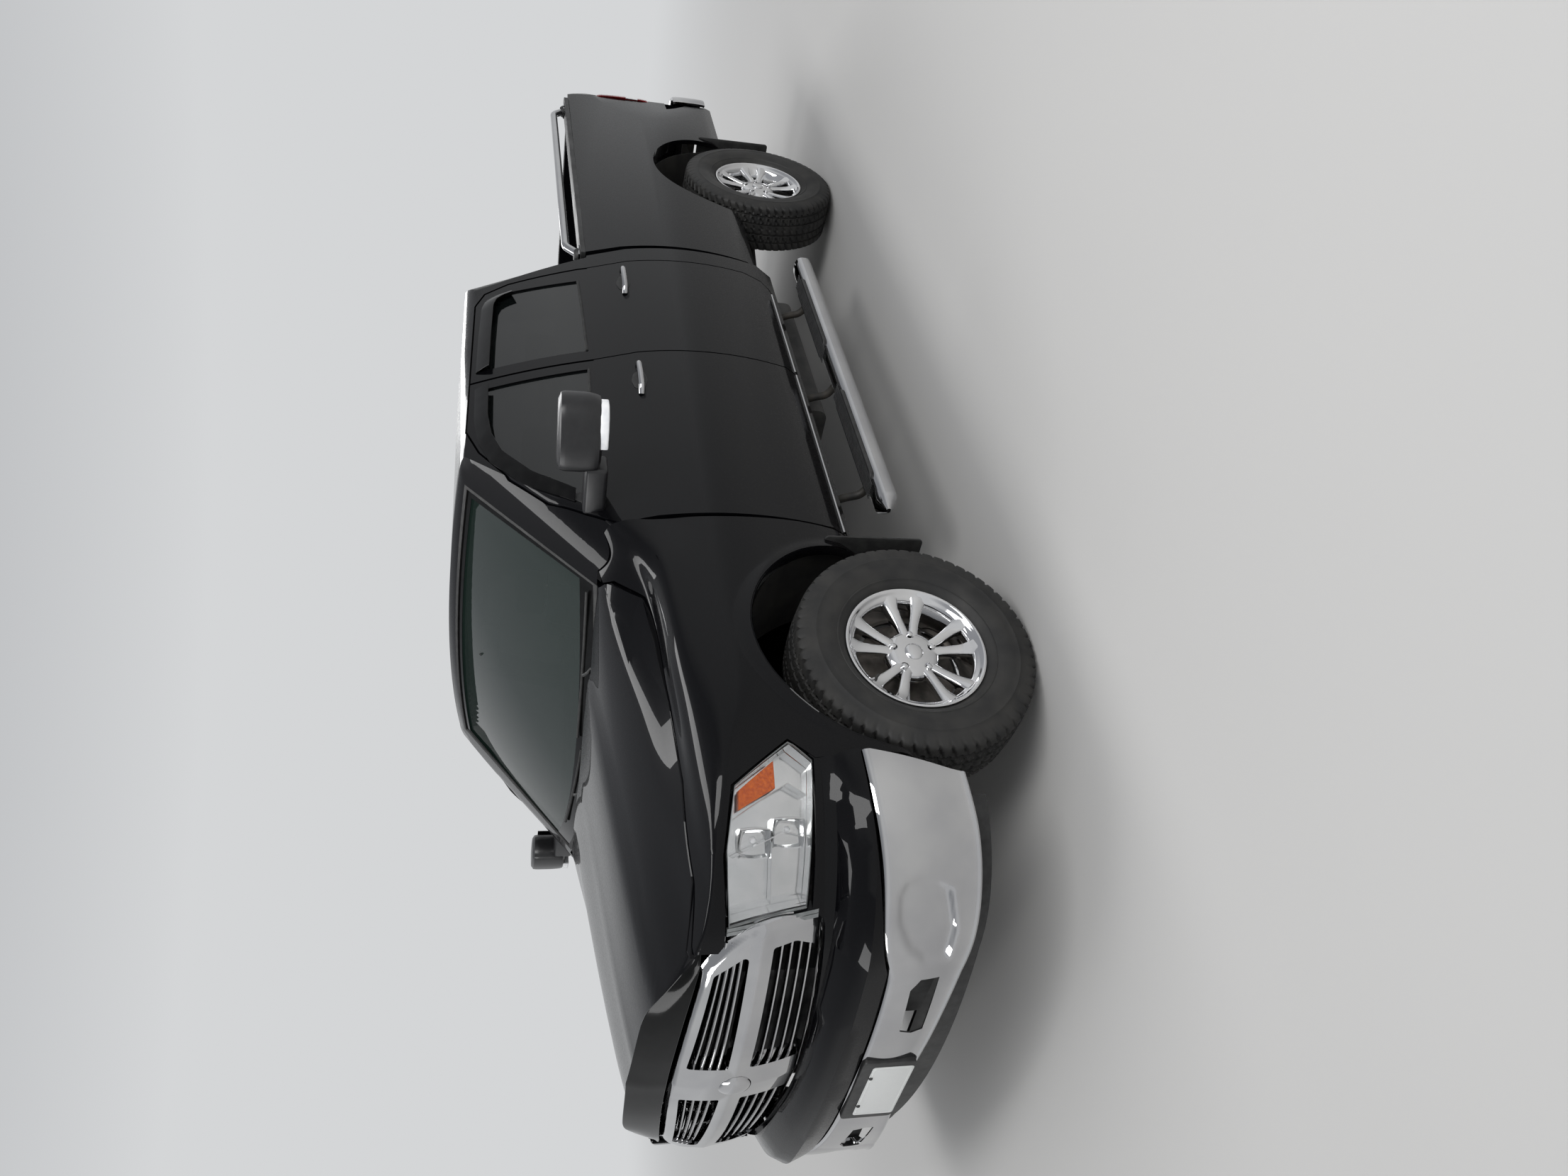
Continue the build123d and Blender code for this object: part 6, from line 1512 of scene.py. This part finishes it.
# Cabin: grained grey mouldings on the dashboard and doors, with a leather-rimmed wheel, round gauges, a screen and
# vents. Plain generic controls, without marks.
cabin_plastic = finish("cabin_plastic", (0.055, 0.055, 0.058), (0.085, 0.085, 0.088), (0.5, 0.7), grain=70, bump=0.25,
                       bump_depth=0.0006, bump_grain=600)
trim_silver = finish("trim_silver", (0.30, 0.30, 0.31), (0.42, 0.42, 0.43), (0.25, 0.4), metal=0.8, grain=40)
dress(cabin_plastic, "dashboard", round_to=0.006, turns=2)
dash_face = axle_x - 0.843
hood_section = ((-0.835, 1.262), (-0.720, 1.285), (-0.700, 1.335), (-0.790, 1.352), (-0.860, 1.338), (-0.868, 1.325),
                (-0.828, 1.318))
soft_edges(prism("gauge_hood", [(axle_x + x, z) for x, z in hood_section], "y", 0.235, 0.565, cabin_plastic,
                 "chassis"), 0.010, 3)
gauge_face = finish("gauge_face", (0.004, 0.004, 0.005), (0.010, 0.010, 0.012), (0.10, 0.2), grain=90,
                    Coat_Weight=1.0)
for number, (y, r) in enumerate(((0.475, 0.052), (0.325, 0.052), (0.400, 0.030))):
    turned(f"gauge_{number + 1}", [(0.0001, 0.004), (r - 0.006, 0.004), (r - 0.004, 0.010), (r, 0.010), (r, -0.004)],
           (axle_x - 0.838, y, 1.262), (-1, 0, 0.25), gauge_face if number == 2 else trim_silver, "chassis", steps=36)
    turned(f"gauge_dial_{number + 1}", [(0.0001, 0.006), (r - 0.007, 0.006)], (axle_x - 0.838, y, 1.262),
           (-1, 0, 0.25), gauge_face, "chassis", steps=36)
soft_edges(prism("centre_stack", rounded_outline(0.145, 0.110, 0.02, (0, 1.165)), "x", dash_face - 0.012,
                 dash_face + 0.05, cabin_plastic, "chassis"), 0.006, 3)
soft_edges(prism("centre_screen", rounded_outline(0.100, 0.055, 0.006, (0, 1.200)), "x", dash_face - 0.0145,
                 dash_face - 0.011, gauge_face, "chassis", slot="smoked_plastic"), 0.001)
for number, y in enumerate((-0.095, -0.035, 0.035, 0.095)):
    turned(f"dash_knob_{number + 1}", [(0.0001, 0.020), (0.012, 0.020), (0.015, 0.016), (0.017, 0.0)],
           (dash_face - 0.012, y, 1.105), (-1, 0, 0), trim_silver, "chassis", steps=24)
for number, y in enumerate((-0.700, -0.235, 0.215, 0.700)):
    soft_edges(prism(f"air_vent_{number + 1}", rounded_outline(0.050, 0.036, 0.012, (y, 1.225)), "x",
                     dash_face - 0.006, dash_face + 0.03, black_plastic, "chassis"), 0.003)
    for blade in range(4):
        z = 1.203 + 0.015 * blade
        bar(f"vent_blade_{number + 1}_{blade + 1}",
            [(dash_face - 0.008, y + reach, z) for reach in (-0.042, 0, 0.042)], 0.0022, trim_silver, "chassis")
# Steering wheel: grip and a boss, tilted on its column
column = Vector((-0.92, 0, 0.39)).normalized()
hub = Vector((axle_x - 0.900, 0.400, 1.230))
leather = finish("leather", (0.010, 0.010, 0.010), (0.022, 0.021, 0.020), (0.45, 0.6), grain=200, bump=0.4,
                 bump_depth=0.0008, bump_grain=420)
grip_r, grip_thick, grip_steps, grip_round = 0.185, 0.0165, 72, 14
ring_points, ring_faces = [], []
across_wheel = Vector((0, 1, 0))
up_wheel = column.cross(across_wheel).normalized()
for k in range(grip_steps):
    angle = 2 * math.pi * k / grip_steps
    radial = across_wheel * math.cos(angle) + up_wheel * math.sin(angle)
    start, after = k * grip_round, (k + 1) % grip_steps * grip_round
    for m in range(grip_round):
        turn = 2 * math.pi * m / grip_round
        beside = (m + 1) % grip_round
        ring_points.append(hub + radial * (grip_r + grip_thick * math.cos(turn))
                           + column * (grip_thick * math.sin(turn)))
        ring_faces.append((start + m, start + beside, after + beside, after + m))
make_piece("wheel_grip", ring_points, ring_faces, leather, "chassis")
turned("wheel_boss", [(0.0001, 0.030), (0.040, 0.028), (0.062, 0.020), (0.070, 0.006), (0.066, -0.020)], hub, column,
       cabin_plastic, "chassis", steps=40, square=0.35)
bar("column_stalk", [tuple(hub - column * 0.03), tuple(hub - column * 0.03 + Vector((0.0, 0.10, 0.01))),
                     tuple(hub - column * 0.02 + Vector((0, 0.17, 0.02)))], 0.008, black_plastic, "chassis")
# Mirror on the windscreen and two sun visors under the roof
visor_x, visor_deep, visor_y, visor_wide, visor_z, visor_drop = -1.155, 0.155, 0.13, 0.40, 1.802, 0.016
glass_x = screen_x(0, 1.76)
bar("cabin_mirror_stem", [(glass_x - 0.014, 0, 1.762), (glass_x - 0.04, 0, 1.750), (glass_x - 0.060, 0, 1.735)],
    0.008, black_plastic, "chassis")
soft_edges(prism("cabin_mirror", rounded_outline(0.125, 0.034, 0.03, (0, 1.725)), "x", glass_x - 0.082,
                 glass_x - 0.056, black_plastic, "chassis"), 0.008, 3)
for side, turn in sides:
    visor_rows = []
    for k in range(7):
        share = k / 6
        visor_rows.append([(axle_x + visor_x - visor_deep * share, turn * (visor_y + visor_wide * m / 8),
                            visor_z + visor_drop * share) for m in range(9)])
    panel(f"sun_visor_{side}", visor_rows, cabin_plastic, "chassis", (0, 0, -1), hem=0.014, fold=0.005)
# Door trims with an arm rest
door_trims = {"front": (-0.700, -1.560, 0.585), "rear": (-1.700, -2.300, 0.690)}
trim_high, trim_set_in, trim_swell, rest_reach = 1.315, 0.063, 0.006, 0.030
for place, (x0, x1, low_z) in door_trims.items():
    for side, turn in sides:
        body = f"door_{place}_{side}"
        rows = []
        for k in range(17):
            z = low_z + (trim_high - low_z) * k / 16
            rest = rest_reach * ease(z, 0.93, 0.97) * (1 - ease(z, 0.985, 1.03))
            rows.append([(axle_x + x0 + (x1 - x0) * m / 20,
                          turn * (side_y(z) - trim_set_in - trim_swell * math.sin(math.pi * m / 20)
                                  - rest * ease(m, 2, 6) * (1 - ease(m, 14, 19))), z) for m in range(21)])
        panel(f"door_trim_{place}_{side}", rows, cabin_plastic, body, (0, -turn, 0), hem=0.008, fold=0.002)

# Seats: foam cushions under grey woven cloth, on a moulded base. The cloth is drawn tight over the foam, and its sewn
# channels are pulled in afterwards.
# Grey cloth, darkened well below its own grey as painted shade of the cab interior
seat_cloth = finish("seat_cloth", (0.018, 0.018, 0.019), (0.042, 0.042, 0.044), (0.85, 0.98), grain=420, detail=2,
                    bump=0.5, bump_depth=0.0012, bump_grain=900, Sheen_Weight=0.3)
voxel, swell_cap, still_frames, air = 0.0125, 0.014, 20, 4.0
channel_half, channel_depth = 0.012, 0.007


def stuffed(name, size, place, channels=()):
    """Cushion: a rounded block swollen by air as cloth, with sewn channels across its face, set in place."""
    half = [s / 2 for s in size]
    mesh = bpy.data.meshes.new(name)
    work = bmesh.new()
    bmesh.ops.create_cube(work, size=1)
    bmesh.ops.scale(work, vec=[s - swell_cap for s in size], verts=work.verts)
    bmesh.ops.bevel(work, geom=work.edges[:], offset=min(half) * 0.55, segments=4, profile=0.6, affect="EDGES")
    work.to_mesh(mesh)
    work.free()
    pad = add_object(name, mesh)
    grid = pad.modifiers.new("grid", "REMESH")
    grid.mode = "VOXEL"
    grid.voxel_size = voxel
    pad.data = evaluated_mesh(pad)
    pad.modifiers.clear()
    rest = [v.co.copy() for v in pad.data.vertices]
    cloth = pad.modifiers.new("cloth", "CLOTH")
    cloth.settings.use_pressure = True
    cloth.settings.uniform_pressure_force = air
    cloth.settings.effector_weights.gravity = 0
    cloth.point_cache.frame_end = still_frames
    for number in range(1, still_frames + 1):
        scene.frame_set(number)
    blown = evaluated_mesh(pad)
    pad.modifiers.clear()
    pad.data = blown
    scene.frame_set(1)
    for vertex, start in zip(pad.data.vertices, rest):
        move = vertex.co - start
        if move.length > swell_cap:
            vertex.co = start + move.normalized() * swell_cap
    finer = pad.modifiers.new("finer", "SUBSURF")
    finer.levels = finer.render_levels = 1
    pad.data = evaluated_mesh(pad)
    pad.modifiers.clear()
    for vertex in pad.data.vertices:
        for axis, at in channels:
            near = abs(vertex.co[axis] - at)
            if near < channel_half and vertex.co.z > 0:
                vertex.co.z -= channel_depth * (1 - ease(near, 0, channel_half))
    pad.data.transform(place)
    pad.data.shade_smooth()
    pad.data.materials.clear()
    pad.data.materials.append(seat_cloth)
    return pad


def seated(pad):
    """Fix a finished pad to the cab."""
    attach(pad, "chassis")
    return pad


def copied(pad, name, shift):
    """Copy of a pad, moved by a shift."""
    mesh = pad.data.copy()
    mesh.transform(Matrix.Translation(shift))
    return add_object(name, mesh)


def lean_place(x, y, z, lean):
    """Place of a pad: its face is +Z before it leans back about Y."""
    return Matrix.Translation((x, y, z)) @ Matrix.Rotation(lean, 4, "Y")


front_channels = ((1, 0.14), (1, -0.14), (0, 0.05), (0, -0.10))
cushion = stuffed("front_cushion_left", (0.50, 0.49, 0.115),
                  lean_place(axle_x - 1.325, 0.400, 0.962, math.radians(-2)), front_channels)
back_lean = math.radians(90 - 17)
rest_channels = ((1, 0.13), (1, -0.13), (0, 0.02), (0, -0.16))
rest_left = stuffed("front_back_rest_left", (0.56, 0.48, 0.115),
                    lean_place(axle_x - 1.615, 0.400, 1.225, back_lean), rest_channels)
head_left = stuffed("front_head_rest_left", (0.150, 0.26, 0.085),
                    lean_place(axle_x - 1.702, 0.400, 1.553, math.radians(80)))
bench_channels = ((1, 0.22), (1, -0.22), (1, 0.45), (1, -0.45))
bench_cushion = stuffed("rear_cushion", (0.46, 1.36, 0.115), lean_place(axle_x - 2.130, 0, 0.962, math.radians(-2)),
                        (*bench_channels, (0, 0.0)))
bench_back = stuffed("rear_back_rest", (0.52, 1.36, 0.110),
                     lean_place(axle_x - 2.385, 0, 1.215, math.radians(90 - 14)), (*bench_channels, (0, 0.05)))
for pad, name in ((cushion, "front_cushion_right"), (rest_left, "front_back_rest_right"),
                  (head_left, "front_head_rest_right")):
    seated(copied(pad, name, (0, -0.800, 0)))
    seated(pad)
for name, y in (("left", 0.45), ("right", -0.45)):
    seated(copied(head_left, f"rear_head_rest_{name}", (-0.708, y - 0.400, -0.010)))
seated(bench_cushion)
seated(bench_back)
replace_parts(cushion, "front_seats")
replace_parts(bench_cushion, "rear_bench")
for name, x, y in (("front_left", -1.690, 0.40), ("front_right", -1.690, -0.40), ("rear_left", -2.398, 0.45),
                   ("rear_right", -2.398, -0.45)):
    for number, dy in enumerate((-0.06, 0.06)):
        top = Vector((axle_x + x - 0.006, y + dy, 1.52 if "front" in name else 1.51))
        foot = top + Vector((0.022, 0, -0.09))
        bar(f"head_rest_post_{name}_{number + 1}", [tuple(foot), tuple((foot + top) / 2), tuple(top)], 0.006,
            trim_silver, "chassis")
seat_bases = (("front_left", -1.340, 0.40, 0.215, 0.195), ("front_right", -1.340, -0.40, 0.215, 0.195),
              ("rear", -2.145, 0.0, 0.185, 0.600))
for name, x, y, half_x, half_y in seat_bases:
    soft_edges(prism(f"seat_base_{name}", rounded_outline(half_x, half_y, 0.04, (axle_x + x, y)), "z", 0.6505, 0.905,
                     cabin_plastic, "chassis"), 0.012, 3)
